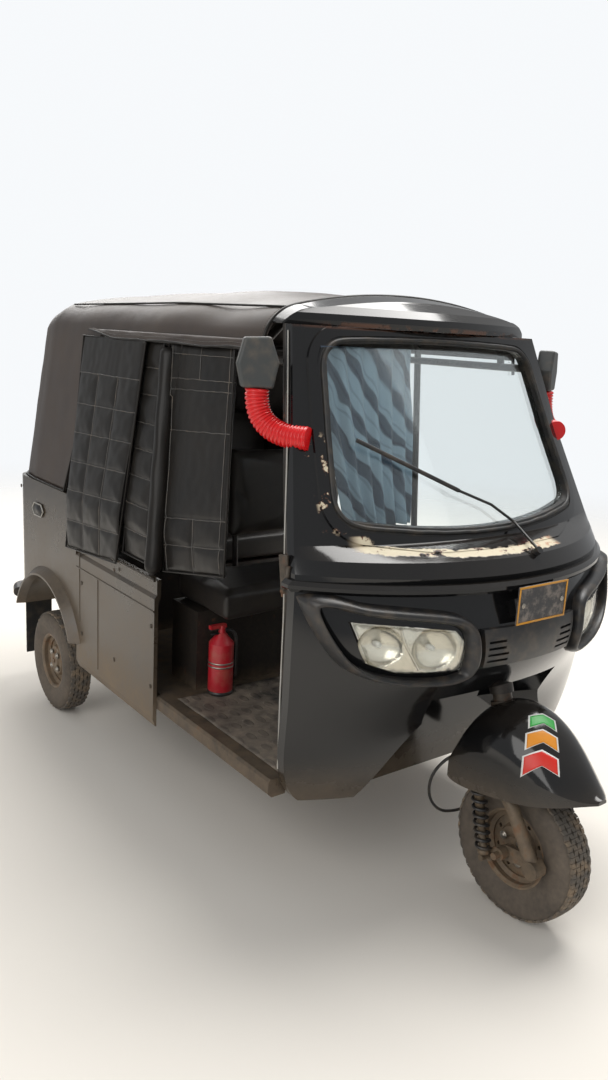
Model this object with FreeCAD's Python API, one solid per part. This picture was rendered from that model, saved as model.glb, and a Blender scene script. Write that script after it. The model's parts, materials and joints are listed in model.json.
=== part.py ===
import FreeCAD, Part
import math
import os
from FreeCAD import Vector

# Three-wheeled auto rickshaw, millimetres, +Z up, front of the vehicle towards -Y.
# The vehicle's right side is -X. The origin is on the ground under the middle of the box.

# Driving dimensions of the whole vehicle
front_overhang = 235.5
wheelbase = 1985.0
rear_overhang = 426.5
overall_height = 1740.0
body_half_width = 630.0
flare_reach = 34.5
cab_length = 1048.0
bench_length = 352.0
bumper_reach = 73.5
floor_z = 400.0
floor_thickness = 24.0
panel_wall = 14.0
seat_gap = 0.3

overall_length = front_overhang + wheelbase + rear_overhang
front_end_y = -overall_length / 2
rear_end_y = overall_length / 2
front_axle_y = front_end_y + front_overhang
rear_axle_y = front_axle_y + wheelbase
rear_face_y = rear_end_y - bumper_reach
arch_half_width = body_half_width + flare_reach
entry_front_y = front_axle_y + cab_length
seat_base_y = rear_axle_y - bench_length

# Wheels
tyre_radius = 208.0
tyre_width = 108.0
rim_radius = 108.0
rim_width = 84.0
rim_slots = 8
axle_radius = 10.0
axle_fit = 0.05
wheel_inset = 58.0
rear_wheel_x = body_half_width - wheel_inset

# Steering axis, leaning back from the wheel
rake = math.radians(19.0)
trail = 89.0
head_bore_radius = 27.0
head_tube_radius = 34.0
head_low, head_high = 662.0, 900.0
column_fit = 0.08
cowl_wall = 12.0

# Wheel recess, revolved about the steering axis: height along the axis, radius
recess_profile = [(300.0, 630.0), (500.0, 400.0), (620.0, 262.0), (690.0, 262.0)]
recess_top = recess_profile[-1][0]
recess_depth = 328.0
recess_back_y = front_axle_y + recess_depth

# Front body: plan sections from the bottom edge up to the scuttle
# columns: height, inset from the body's half width, door edge and nose behind the front axle
scuttle_z = 1000.0
cowl_table = [
    (340.0, 82.0, 374.0, 204.0),
    (430.0, 30.0, 372.0, 183.0),
    (650.0, 13.0, 348.0, 113.0),
    (745.0, 10.0, 343.0, 58.0),
    (870.0, 10.0, 343.0, 52.0),
    (scuttle_z, 16.0, 353.0, 66.0),
]
# Scuttle, ledge and windscreen frame above it, same columns
ledge_z = 1066.0
screen_drop = 123.0
screen_top_z = overall_height - screen_drop
screen_table = [
    (scuttle_z, 16.0, 353.0, 66.0),
    (ledge_z - 30.0, 22.0, 366.0, 100.0),
    (ledge_z, 28.0, 380.0, 222.0),
    ((ledge_z + screen_top_z) / 2, 89.0, 492.0, 361.0),
    (screen_top_z, 140.0, 588.0, 508.0),
]


def front_rows(table):
    return [(z, body_half_width - inset, front_axle_y + door, front_axle_y + nose) for z, inset, door, nose in table]


cowl_sections = front_rows(cowl_table)
screen_sections = front_rows(screen_table)
side_run = 30.0
screen_wall = 24.0

# Windscreen opening in the front view
opening_bottom_half = body_half_width - 132.0
opening_top_half = body_half_width - 203.0
opening_bottom_z = ledge_z + 38.0
opening_top_z = screen_top_z - 26.0
opening_sag = 32.0
opening_crown = 10.0
opening_corner = 74.0
seal_width = 20.0
seal_proud = 4.0
glass_thickness = 6.0
glass_inset = 10.0
ridge_width = 30.0
ridge_height = 7.0

# Roof sections across the vehicle
# columns: y, seam inset and drop, shoulder inset and drop, crown drop, foot inset
# insets from the body's half width, drops from the overall height
canopy_front_y = front_axle_y + 648.0
canopy_low_z = 955.0
canopy_wall = 8.0
roof_table = [
    (canopy_front_y, 118.0, 148.0, 225.0, 66.0, 22.0, 18.0),
    (entry_front_y + 190.0, 102.0, 148.0, 205.0, 56.0, 0.0, 2.0),
    (rear_face_y - 200.0, 100.0, 155.0, 205.0, 68.0, 18.0, 4.0),
    (rear_face_y - 80.0, 114.0, 178.0, 218.0, 94.0, 48.0, 19.0),
    (rear_face_y - 24.0, 138.0, 212.0, 240.0, 134.0, 92.0, 48.0),
    (rear_face_y - 1.0, 178.0, 262.0, 274.0, 192.0, 154.0, 96.0),
]


def roof_rows(table):
    w, h = body_half_width, overall_height
    return [(y, w - a, h - b, w - c, h - d, h - e, w - f) for y, a, b, c, d, e, f in table]


roof_sections = roof_rows(roof_table)
shoulder_bulge = 0.16
valance_z = overall_height - 228.0
rear_window_half = 330.0
rear_window_high = 270.0
rear_window_top = overall_height - 340.0


def prism_x(points, x0, x1):
    """A solid from a (y, z) outline, drawn from x0 to x1."""
    corners = [Vector(x0, y, z) for y, z in points]
    face = Part.Face(Part.makePolygon(corners + corners[:1]))
    return face.extrude(Vector(x1 - x0, 0, 0))


def prism_y(points, y0, y1):
    """A solid from an (x, z) outline, drawn from y0 to y1."""
    corners = [Vector(x, y0, z) for x, z in points]
    face = Part.Face(Part.makePolygon(corners + corners[:1]))
    return face.extrude(Vector(0, y1 - y0, 0))


def block(x0, x1, y0, y1, z0, z1):
    return Part.makeBox(x1 - x0, y1 - y0, z1 - z0, Vector(x0, y0, z0))


def rod(start, end, radius):
    start, end = Vector(*start), Vector(*end)
    return Part.makeCylinder(radius, (end - start).Length, start, end - start)


def tube_path(points, radius, bend=None):
    """A round bar through the points, with one arc of the given radius, or else the largest, at each bend."""
    knots = [Vector(*p) for p in points]
    edges = []
    last = knots[0]
    for before, corner, after in zip(knots, knots[1:], knots[2:]):
        to_start = (before - corner).normalize()
        to_end = (after - corner).normalize()
        half = to_start.getAngle(to_end) / 2
        reach = bend / math.tan(half) if bend else hose_share * min((before - corner).Length, (after - corner).Length)
        arc_start = corner + to_start * reach
        arc_end = corner + to_end * reach
        middle = (to_start + to_end).normalize()
        arc_radius = reach * math.tan(half)
        arc_mid = corner + middle * (arc_radius / math.sin(half) - arc_radius)
        edges.append(Part.LineSegment(last, arc_start).toShape())
        edges.append(Part.Arc(arc_start, arc_mid, arc_end).toShape())
        last = arc_end
    edges.append(Part.LineSegment(last, knots[-1]).toShape())
    path = Part.Wire(edges)
    ring = Part.Wire(Part.makeCircle(radius, knots[0], knots[1] - knots[0]))
    return path.makePipeShell([ring], True, True)


def mirrored(shape):
    return shape.mirror(Vector(0, 0, 0), Vector(1, 0, 0))


def pair(shape):
    return Part.makeCompound([shape, mirrored(shape)])


def turned(profile, centre_x, y, z):
    """Revolve an (x, radius) outline about the wheel axis at y, z."""
    corners = [Vector(centre_x + x, y, z + r) for x, r in profile]
    face = Part.Face(Part.makePolygon(corners + corners[:1]))
    return face.revolve(Vector(centre_x, y, z), Vector(1, 0, 0), 360)


# Front body

def plan_wire(row, inset, back):
    z, half_width, side_y, nose_y = row
    x = half_width - inset
    start_y = side_y - side_run + inset
    right_back = Vector(-x, side_y + back, z)
    right = Vector(-x, start_y, z)
    nose = Vector(0, nose_y + inset, z)
    left = Vector(x, start_y, z)
    left_back = Vector(x, side_y + back, z)
    return Part.Wire([
        Part.LineSegment(right_back, right).toShape(),
        Part.Arc(right, nose, left).toShape(),
        Part.LineSegment(left, left_back).toShape(),
        Part.LineSegment(left_back, right_back).toShape(),
    ])


def plan_loft(rows, inset, back, ruled, extend=0.0):
    rows = [list(row) for row in rows]
    rows[0][0] -= extend
    rows[-1][0] += extend
    return Part.makeLoft([plan_wire(row, inset, back) for row in rows], True, ruled)


def section_at(rows, z):
    """Half width, door edge and nose of the front body at a height."""
    for a, b in zip(rows, rows[1:]):
        if a[0] <= z <= b[0]:
            f = (z - a[0]) / (b[0] - a[0])
            return [u + (v - u) * f for u, v in zip(a[1:], b[1:])]
    return list(rows[0][1:]) if z < rows[0][0] else list(rows[-1][1:])


pillar_radius = 11.0
pillar_behind = 12.8


def pillar_place(rows, z):
    """The middle of the door channel, just behind the front body's edge."""
    half, side_y = section_at(rows, z)[:2]
    return Vector(-half + pillar_radius + 2.0, side_y + pillar_behind, z)


def pillar(radius):
    points = [pillar_place(cowl_sections, z) for z in (floor_z - 20.0, 560.0, 700.0, scuttle_z - 60.0)]
    points += [pillar_place(screen_sections, row[0]) for row in screen_sections[2:]]
    return tube_path(points, radius, 60.0)


def axis_point(t, p=0.0):
    """A point t up the steering axis from the ground and p behind it."""
    y = front_axle_y - trail + t * math.sin(rake) + p * math.cos(rake)
    return Vector(0, y, t * math.cos(rake) - p * math.sin(rake))


axis_up = Vector(0, math.sin(rake), math.cos(rake))


def axis_cylinder(radius, low, high):
    return Part.makeCylinder(radius, high - low, axis_point(low), axis_up)


def recess_body(grow, back_y):
    """The space of the front wheel and its mudguard, larger all round by grow."""
    high = recess_top + grow
    profile = [(t, r + grow) for t, r in recess_profile]
    profile[-1] = (high, profile[-1][1])
    outline = [(profile[0][0], 0.0)] + profile + [(high, 0.0)]
    corners = [axis_point(t, r) for t, r in outline]
    body = Part.Face(Part.makePolygon(corners + corners[:1])).revolve(axis_point(0.0), axis_up, 360)
    return body.common(block(-900, 900, front_end_y - 900, back_y + grow, 0, overall_height))


def lamp_cut(grow):
    """The lamp outline drawn through the nose on both sides, larger by grow."""
    centre = Vector(sum(x for x, z in lamp_outline) / len(lamp_outline), 0,
                    sum(z for x, z in lamp_outline) / len(lamp_outline))
    points = []
    for x, z in lamp_outline:
        away = Vector(x, 0, z) - centre
        points.append(centre + away + Vector(away).normalize() * grow)
    return pair(prism_y([(p.x, p.z) for p in points], front_end_y, cowl_sections[-1][2]))


def front_cowl():
    outer = plan_loft(cowl_sections, 0.0, 0.0, False)
    inner = plan_loft(cowl_sections, cowl_wall, 60.0, False, 8.0)
    shell = outer.cut(recess_body(0.0, recess_back_y)).cut(inner.cut(recess_body(cowl_wall, recess_back_y)))
    shell = shell.cut(axis_cylinder(head_tube_radius, recess_top - 40.0, recess_top + 60.0))
    return shell.cut(lamp_cut(lamp_clear))


def screen_outline(shrink):
    """The windscreen opening drawn through the frame, smaller all round by shrink."""
    y0, y1 = front_end_y, canopy_front_y
    bottom = opening_bottom_half - shrink
    top = opening_top_half - shrink
    low, high = opening_bottom_z + shrink, opening_top_z - shrink
    corners = [Vector(-bottom, y0, low), Vector(-top, y0, high),
               Vector(top, y0, high), Vector(bottom, y0, low)]
    sag = Vector(0, y0, low - opening_sag)
    crown = Vector(0, y0, high + opening_crown)
    cut = (opening_corner - shrink) * 1.05

    def towards(a, b):
        return a + (b - a).normalize() * cut

    a, b, c, d = corners
    low_left, low_right = towards(a, sag), towards(d, sag)
    side_low_l, side_high_l = towards(a, b), towards(b, a)
    side_low_r, side_high_r = towards(d, c), towards(c, d)
    top_l, top_r = towards(b, crown), towards(c, crown)

    def round_corner(start, corner, end):
        middle = (start + end) * 0.5
        return Part.Arc(start, middle + (corner - middle) * 0.42, end).toShape()

    sides = [Part.Arc(low_left, sag, low_right).toShape(),
             round_corner(low_right, d, side_low_r),
             Part.LineSegment(side_low_r, side_high_r).toShape(),
             round_corner(side_high_r, c, top_r),
             Part.Arc(top_r, crown, top_l).toShape(),
             round_corner(top_l, b, side_high_l),
             Part.LineSegment(side_high_l, side_low_l).toShape(),
             round_corner(side_low_l, a, low_left)]
    return Part.Face(Part.Wire(sides)).extrude(Vector(0, y1 - y0, 0))


def screen_shell(outer_inset, inner_inset):
    outer = plan_loft(screen_sections, outer_inset, 0.0, True)
    inner = plan_loft(screen_sections, inner_inset, 60.0, True, 2.0)
    return outer.cut(inner)


def windscreen_parts():
    """The painted frame with a raised ridge round its opening, the rubber seal and the curved glass."""
    opening = screen_outline(0.0)
    sight = screen_outline(seal_width)
    above = block(-900, 900, front_end_y, canopy_front_y, ledge_z - 15.0, screen_top_z - 4.0)
    ridge = screen_shell(-ridge_height, ridge_height).common(screen_outline(-ridge_width)).common(above)
    frame = screen_shell(0.0, screen_wall).fuse(ridge).cut(opening)
    seal = screen_shell(-seal_proud, screen_wall + seal_proud).common(opening).cut(sight).common(above)
    glass = screen_shell(glass_inset, glass_inset + glass_thickness).common(sight).common(above)
    return frame, seal, glass


def roof_wire(row, inset, low_z):
    y, seam_x, seam_z, shoulder_x, shoulder_z, crown_z, foot_x = row
    lean = (foot_x - seam_x) / (seam_z - canopy_low_z)
    seam = Vector(-seam_x + inset, y, seam_z)
    foot = Vector(-seam_x - (seam_z - low_z) * lean + inset, y, low_z)
    shoulder = Vector(-shoulder_x, y, shoulder_z - inset)
    chord = (seam + shoulder) * 0.5
    out = Vector(-(shoulder_z - seam_z), 0, seam_x - shoulder_x).normalize()
    bulge = chord + out * (seam_x - shoulder_x) * shoulder_bulge
    crown = Vector(0, y, crown_z - inset)

    def over(v):
        return Vector(-v.x, v.y, v.z)

    return Part.Wire([
        Part.LineSegment(foot, seam).toShape(),
        Part.Arc(seam, bulge, shoulder).toShape(),
        Part.Arc(shoulder, crown, over(shoulder)).toShape(),
        Part.Arc(over(shoulder), over(bulge), over(seam)).toShape(),
        Part.LineSegment(over(seam), over(foot)).toShape(),
        Part.LineSegment(over(foot), foot).toShape(),
    ])


def roof_loft(rows, inset, low_z):
    return Part.makeLoft([roof_wire(row, inset, low_z) for row in rows], True, True)


def canopy():
    outer = roof_loft(roof_sections, 0.0, canopy_low_z)
    rows = [list(r) for r in roof_sections]
    rows[0][0] -= 20.0
    rows[-1][0] -= canopy_wall
    inner = roof_loft(rows, canopy_wall, canopy_low_z - 20.0)
    front_y = canopy_front_y - 20.0
    low = canopy_low_z - 30.0
    side_window = [(front_y, valance_z), (quarter_y, valance_z), (quarter_y + 126.0, low), (front_y, low)]
    rear_window = block(-rear_window_half, rear_window_half, rear_face_y - 100.0, rear_face_y + 50.0,
                        rear_window_top - rear_window_high, rear_window_top)
    return outer.cut(inner).cut(prism_x(side_window, -900.0, 900.0)).cut(rear_window)


# Painted header over the windscreen, plan sections from its lip up to the roof
# columns: drop from the overall height, inset from the body's half width, nose behind the front axle
header_table = [
    (122.0, 138.0, 484.0),
    (108.0, 134.0, 480.0),
    (90.0, 142.0, 490.0),
    (68.0, 180.0, 518.0),
    (46.0, 260.0, 560.0),
    (24.0, 370.0, 598.0),
]
header_low_z = overall_height - header_table[0][0]
header_back = 15.0
header_ledge = 10.0


def roof_header():
    door_y = canopy_front_y - header_back
    rows = [(overall_height - drop, body_half_width - inset, door_y, front_axle_y + nose)
            for drop, inset, nose in header_table]
    first = roof_sections[0]
    ahead = [canopy_front_y - 200.0] + [v - d for v, d in zip(first[1:], (12.0, -18.0, 15.0, 28.0, 46.0, 0.0))]
    slope = roof_loft([tuple(ahead), first], 0.0, header_low_z - 20.0)
    slope_in = roof_loft([tuple(ahead), first], panel_wall, header_low_z - 20.0)
    outer = plan_loft(rows, 0.0, header_back, True).common(slope)
    inner = plan_loft(rows, panel_wall, header_back + 20.0, True).common(slope_in)
    above = block(-900, 900, front_end_y, canopy_front_y + 50.0, header_low_z + header_ledge, overall_height)
    inner = inner.common(above)
    return outer.cut(inner)


# Wheels

def tyre(x, y):
    r, w = tyre_radius, tyre_width / 2
    bead = rim_width / 2
    outline = [(-bead + 9.0, rim_radius + seat_gap), (-bead + 5.4, rim_radius + 8.8), (-bead - 4.0, rim_radius + 10.0),
               (-w, rim_radius + 46.0), (-w + 2, r - 34.0), (-w + 12, r - 12.0), (-w + 24, r - 2.0),
               (-9.0, r), (-7.0, r - 6.0), (7.0, r - 6.0), (9.0, r), (w - 24, r - 2.0),
               (w - 12, r - 12.0), (w - 2, r - 34.0), (w, rim_radius + 46.0),
               (bead + 4.0, rim_radius + 10.0), (bead - 5.4, rim_radius + 8.8), (bead - 9.0, rim_radius + seat_gap)]
    return turned(outline, x, y, tyre_radius)


def rim(x, y, s):
    """A pressed steel disc wheel with its drum; s is the outer side, -1 or 1."""
    h = rim_width / 2
    bore = axle_radius + axle_fit
    flange, lip, floor = rim_radius + 8.0, rim_radius + 1.0, rim_radius - 5.0
    well = [(-h, flange), (-h + 5, flange), (-h + 8, rim_radius), (-h + 22, rim_radius), (-h + 30, rim_radius - 14),
            (h - 30, rim_radius - 14), (h - 22, rim_radius), (h - 8, rim_radius), (h - 5, flange), (h, flange),
            (h, lip), (h - 6, floor), (h - 22, floor), (h - 28, rim_radius - 18), (-h + 28, rim_radius - 18),
            (-h + 22, floor), (-h + 6, floor), (-h, lip)]
    slot_circle, slot_radius = rim_radius - 32.0, 6.5
    disc = [(s * 2, rim_radius - 16), (s * 8, rim_radius - 16), (s * 12, slot_circle - 10), (s * 26, slot_circle - 18),
            (s * 26, 34), (s * 34, 30), (s * 34, bore), (s * 12, bore), (s * 12, 30), (s * 20, 36),
            (s * 20, slot_circle - 22), (s * 6, slot_circle - 14)]
    drum = [(-s * 44, rim_radius - 24), (-s * 6, rim_radius - 22), (-s * 6, slot_circle - 14), (s * 12, 30),
            (s * 12, bore), (-s * 44, bore)]
    body = turned(well, x, y, tyre_radius).fuse(turned(disc, x, y, tyre_radius))
    body = body.fuse(turned(drum, x, y, tyre_radius))
    outer_half = block(x + min(s * 1, s * 40), x + max(s * 1, s * 40), y - rim_radius, y + rim_radius,
                       0, 2 * tyre_radius)
    for i in range(rim_slots):
        angle = 2 * math.pi * (i + 0.5) / rim_slots
        hole_y = y + slot_circle * math.sin(angle)
        hole_z = tyre_radius + slot_circle * math.cos(angle)
        hole = rod((x - h, hole_y, hole_z), (x + h, hole_y, hole_z), slot_radius)
        body = body.cut(hole.common(outer_half))
    return body.removeSplitter()


# Steered parts

fork_x = 92.0
fork_radius = 19.0
boss_radius = 25.0
column_low, column_high = 560.0, 940.0
neck_radius = 36.0
crown_t = 500.0
crown_depth = 34.0
crown_z0, crown_z1 = 446.0, 470.0
link_clear = 5.5
link_thickness = 12.0
link_x = tyre_width / 2 + link_clear
pin_small = 9.0
# places on the fork: distance behind the front axle, height
link_pivot = (front_axle_y - 118.0, tyre_radius + 18.0)
link_eye = (front_axle_y + 52.0, tyre_radius - 36.0)
spring_x = fork_x + 4.0
spring_radius = 24.0
spring_core = 16.0
spring_turns = 8
damper_radius = 12.0
damper_neck = 18.0
spring_high = (crown_t, 30.0, 410.0)


def steering_fork():
    column = axis_cylinder(head_bore_radius - column_fit, column_low, column_high)
    crown_y = axis_point(crown_t).y
    half = fork_x + 8.0
    crown = block(-half, half, crown_y - crown_depth, crown_y + crown_depth, crown_z0, crown_z1)
    body = column.fuse(axis_cylinder(neck_radius, crown_t, 640.0)).fuse(crown)
    pivot_y, pivot_z = link_pivot
    for side in (-1, 1):
        x = side * fork_x
        leg = tube_path([(x, crown_y, (crown_z0 + crown_z1) / 2), (x, front_axle_y - 24.0, 366.0),
                         (x, front_axle_y - 92.0, 262.0), (x, pivot_y, pivot_z)], fork_radius, 60.0)
        boss = rod((x - fork_radius - 1, pivot_y, pivot_z), (x + fork_radius + 1, pivot_y, pivot_z), boss_radius)
        lug_y = crown_y + spring_high[1] - 2.0
        lug = block(x - 10.0, x + 10.0, lug_y - 10.0, lug_y + 12.0, spring_high[2] + 4.0, crown_z0 + 8.0)
        body = body.fuse(leg).fuse(boss).fuse(lug)
    return body.removeSplitter()


def front_suspension():
    reach = fork_x + 26.0
    body = rod((-reach, front_axle_y, tyre_radius), (reach, front_axle_y, tyre_radius), axle_radius)
    pivot_y, pivot_z = link_pivot
    eye_y, eye_z = link_eye
    outline = [(pivot_y - 18, pivot_z), (pivot_y, pivot_z + 18), (front_axle_y, tyre_radius + 22),
               (eye_y + 8, eye_z + 14), (eye_y + 12, eye_z - 8), (eye_y, eye_z - 16),
               (front_axle_y, tyre_radius - 24), (pivot_y, pivot_z - 18)]
    for side in (-1, 1):
        near, far = sorted((side * link_x, side * (link_x + link_thickness)))
        plate = prism_x(outline, near, far)
        eye = rod((side * link_x, eye_y, eye_z), (side * (spring_x + damper_radius), eye_y, eye_z), pin_small)
        nut = rod((side * (link_x + link_thickness), front_axle_y, tyre_radius),
                  (side * (fork_x + 6.0), front_axle_y, tyre_radius), 1.8 * axle_radius)
        body = body.fuse(plate).fuse(eye).fuse(nut)
    return body.removeSplitter()


def front_springs():
    """Two dampers with their coils, each drawn as one ribbed body."""
    low = Vector(-spring_x, link_eye[0], link_eye[1] + pin_small + 1.0)
    high = Vector(-spring_x, axis_point(spring_high[0]).y + spring_high[1], spring_high[2])
    length = (high - low).Length
    pitch = (length - damper_neck - 22.0) / spring_turns
    points = [(0.0, 0.0), (damper_radius, 0.0), (damper_radius, damper_neck)]
    for i in range(spring_turns):
        z = damper_neck + i * pitch
        points += [(spring_core, z), (spring_radius, z + pitch * 0.25), (spring_radius, z + pitch * 0.55),
                   (spring_core, z + pitch * 0.8)]
    top = damper_neck + spring_turns * pitch
    points += [(spring_core, top), (damper_radius, top), (damper_radius, length), (0.0, length)]
    corners = [Vector(r, 0, z) for r, z in points]
    face = Part.Face(Part.makePolygon(corners + corners[:1]))
    spring = face.revolve(Vector(0, 0, 0), Vector(0, 0, 1), 360)
    turn = FreeCAD.Rotation(Vector(0, 0, 1), high - low)
    spring.Placement = FreeCAD.Placement(low, turn)
    return pair(spring)


hose_radius = 4.5
hose_share = 0.45
# the brake hose from the fork round behind the wheel to its left side
# columns: x, distance behind the front axle, height
hose_route = [
    (-72.0, 152.0, 457.0), (-106.0, 206.0, 420.0), (-130.0, 242.0, 360.0), (-128.0, 257.0, 297.0),
    (-105.0, 260.0, 243.0), (-68.0, 252.0, 208.0), (-22.0, 244.0, 199.0), (26.0, 238.0, 199.0),
    (66.0, 220.0, 203.0), (90.0, 184.0, 203.0), (92.0, 140.0, 196.0), (78.0, 101.0, 184.0), (68.0, 80.0, 177.0),
]


def brake_hose():
    start = Vector(-72.0, axis_point(crown_t).y + crown_depth + seat_gap, (crown_z0 + crown_z1) / 2)
    end = Vector(link_x + link_thickness / 2, link_eye[0] + 11.2, 175.0)
    route = [start] + [Vector(x, front_axle_y + behind, z) for x, behind, z in hose_route] + [end]
    for before, corner, after in zip(route, route[1:], route[2:]):
        half = (before - corner).getAngle(after - corner) / 2
        reach = hose_share * min((before - corner).Length, (after - corner).Length)
        print("brake hose arc radius %.0f" % (reach * math.tan(half)))
    return tube_path(route, hose_radius)


# columns: distance behind the front axle, half width, lower edge height, crown height
mudguard_table = [
    (190.0, 126.0, 372.0, 496.0),
    (138.0, 130.0, 366.0, 588.0),
    (-2.0, 128.0, 388.0, 622.0),
    (-108.0, 108.0, 410.0, 562.0),
    (-180.0, 72.0, 432.0, 494.0),
    (-front_overhang, 16.0, 448.0, 462.0),
]
mudguard_wall = 5.0
mudguard_knee = 0.42


def mudguard_wire(row, inset, drop):
    behind, half, low, high = row
    y = front_axle_y + behind
    x = half - inset
    top = high - inset
    knee = low + (top - low) * mudguard_knee
    low = low - drop
    right_low, right = Vector(-x, y, low), Vector(-x, y, knee)
    left_low, left = Vector(x, y, low), Vector(x, y, knee)
    return Part.Wire([
        Part.LineSegment(right_low, right).toShape(),
        Part.Arc(right, Vector(0, y, top), left).toShape(),
        Part.LineSegment(left, left_low).toShape(),
        Part.LineSegment(left_low, right_low).toShape(),
    ])


def front_mudguard():
    outer = Part.makeLoft([mudguard_wire(r, 0.0, 0.0) for r in mudguard_table], True, False)
    rows = [list(r) for r in mudguard_table]
    rows[0][0] += 12.0
    rows[-1][0] += mudguard_wall
    inner = Part.makeLoft([mudguard_wire(r, mudguard_wall, 20.0) for r in rows], True, False)
    return outer.cut(inner).cut(axis_cylinder(neck_radius + seat_gap, column_low, 700.0))


bar_t = 950.0
bar_radius = 11.0
grip_radius = 17.0
grip_length = 120.0
# right half of the handlebar: sideways, behind its clamp, above its clamp
bar_end = (310.0, 186.0, 6.0)
bar_knee = (170.0, 70.0, 16.0)


def handlebar():
    hub = axis_point(bar_t)
    clamp = axis_cylinder(head_tube_radius, column_high, bar_t + 16.0)
    ends = [Vector(side * bar_end[0], hub.y + bar_end[1], hub.z + bar_end[2]) for side in (-1, 1)]
    knees = [Vector(side * bar_knee[0], hub.y + bar_knee[1], hub.z + bar_knee[2]) for side in (-1, 1)]
    body = clamp.fuse(tube_path([ends[0], knees[0], hub, knees[1], ends[1]], bar_radius, 60.0))
    for end, knee in zip(ends, knees):
        along = (knee - end).normalize()
        body = body.fuse(rod(end - along * 4.0, end + along * grip_length, grip_radius))
    return body.removeSplitter()


neck_half = 34.0


def steering_head():
    tube = axis_cylinder(head_tube_radius - seat_gap, head_low, head_high)
    back_y = recess_back_y + cowl_wall + 3.0
    low, high = axis_point(head_low + 60.0), axis_point(head_high - 60.0)
    neck = prism_x([(back_y, floor_z), (back_y, 606.0), (low.y, low.z), (high.y, high.z),
                    (back_y + 70.0, 720.0), (back_y + 90.0, floor_z)], -neck_half, neck_half)
    neck = neck.cut(recess_body(cowl_wall + seat_gap, recess_back_y))
    return tube.fuse(neck).cut(axis_cylinder(head_bore_radius, head_low - 60.0, head_high + 60.0)).removeSplitter()


# Floor and frame

floor_half = body_half_width - 40.0
floor_front_y = front_axle_y + 382.0
sill_outer = body_half_width - 12.0
sill_inner = body_half_width - 70.0
sill_bottom_z = 345.0
sill_front_y = front_axle_y + 388.0
rail_x = 300.0
rail_half = 22.0
rail_low, rail_high = 306.0, floor_z - floor_thickness
rail_front_y = front_axle_y + 388.0
rear_frame_y = rear_face_y - 22.0
member_half = 20.0
# places of the cross members, with the reach of the outriggers beyond the rails
cross_members = [
    (front_axle_y + 528.0, True),
    (entry_front_y - 20.0, True),
    (seat_base_y - 115.0, True),
    (rear_frame_y - 48.0, False),
]


def floor_pan():
    low = floor_z - floor_thickness
    clear = cowl_wall + seat_gap
    slab = block(-floor_half, floor_half, floor_front_y, seat_base_y + panel_wall, low, floor_z)
    nose = plan_loft(cowl_sections, clear, 40.0, False)
    nose = nose.common(block(-900, 900, front_end_y, floor_front_y + 6.0, low, floor_z))
    nose = nose.cut(recess_body(clear, recess_back_y))
    pan = slab.fuse(nose)
    sill = [(-floor_half, floor_z), (-sill_outer + 6, floor_z), (-sill_outer, floor_z - 8),
            (-sill_outer, sill_bottom_z + 12), (-sill_outer + 12, sill_bottom_z), (-sill_inner, sill_bottom_z),
            (-sill_inner, low), (-floor_half, low)]
    behind = [(-floor_half, floor_z), (-sill_outer + 18, floor_z), (-sill_outer + 18, sill_bottom_z),
              (-sill_inner, sill_bottom_z), (-sill_inner, low), (-floor_half, low)]
    sill_end_y = seat_base_y + panel_wall
    right = prism_y(sill, sill_front_y, entry_front_y).fuse(prism_y(behind, entry_front_y, sill_end_y))
    left = mirrored(prism_y(sill, sill_front_y, sill_end_y))
    return pan.fuse(right).fuse(left).removeSplitter()


def frame_rails():
    return pair(block(-rail_x - rail_half, -rail_x + rail_half, rail_front_y, rear_frame_y, rail_low, rail_high))


def frame_crossmembers():
    """Box members between the rails and their outriggers, each butted to the rail."""
    low, high = rail_low + 12.0, rail_high - 8.0
    inner, outer = rail_x - rail_half - seat_gap, rail_x + rail_half + seat_gap
    made = []
    for y, outrigger in cross_members:
        made.append(block(-inner, inner, y - member_half, y + member_half, low, high))
        if outrigger:
            arm = block(-sill_inner + seat_gap, -outer, y - member_half + 2, y + member_half - 2, low + 4, high - 4)
            made += [arm, mirrored(arm)]
    return Part.makeCompound(made)


engine_half = 170.0
engine_z0, engine_z1 = 250.0, 590.0
engine_y0, engine_y1 = rear_axle_y - 177.0, rear_axle_y + 223.0
mount_half = 20.0


def engine_block():
    body = block(-engine_half, engine_half, engine_y0, engine_y1, engine_z0, engine_z1)
    reach = rail_x - rail_half - seat_gap
    for y in (engine_y0 + 60.0, engine_y1 - 60.0):
        body = body.fuse(block(-reach, reach, y - mount_half, y + mount_half, rail_low + 12, rail_low + 44))
    return body.removeSplitter()


arm_x = 390.0
arm_half = 16.0
arm_pivot = (rear_axle_y - 397.0, 330.0)
hub_radius = 30.0
shaft_radius = 13.0
rear_spring_radius = 30.0


def rear_suspension():
    """Trailing arms, stub axles, half shafts and springs, each arm pinned to its rail."""
    pivot_y, pivot_z = arm_pivot
    wheel = Vector(arm_x, rear_axle_y, tyre_radius)
    outline = [(pivot_y - 24, pivot_z), (pivot_y, pivot_z + 24), (rear_axle_y, tyre_radius + 36),
               (rear_axle_y + 36, tyre_radius), (rear_axle_y, tyre_radius - 36), (pivot_y, pivot_z - 24)]
    arm = prism_x(outline, arm_x - arm_half, arm_x + arm_half)
    pin = rod((rail_x + rail_half, pivot_y, pivot_z), (arm_x, pivot_y, pivot_z), 14.0)
    boss = rod(wheel, (rear_wheel_x - 47.0, rear_axle_y, tyre_radius), hub_radius)
    stub = rod(wheel, (rear_wheel_x + 38.0, rear_axle_y, tyre_radius), axle_radius)
    shaft = rod((engine_half + 6.0, rear_axle_y, 300.0), wheel, shaft_radius)
    spring = rod((arm_x, rear_axle_y - 40.0, tyre_radius + 20.0), (arm_x, rear_axle_y - 40.0, shelf_z - panel_wall),
                 rear_spring_radius)
    return pair(arm.fuse(pin).fuse(boss).fuse(stub).fuse(shaft).fuse(spring).removeSplitter())


# Sides and rear

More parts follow.
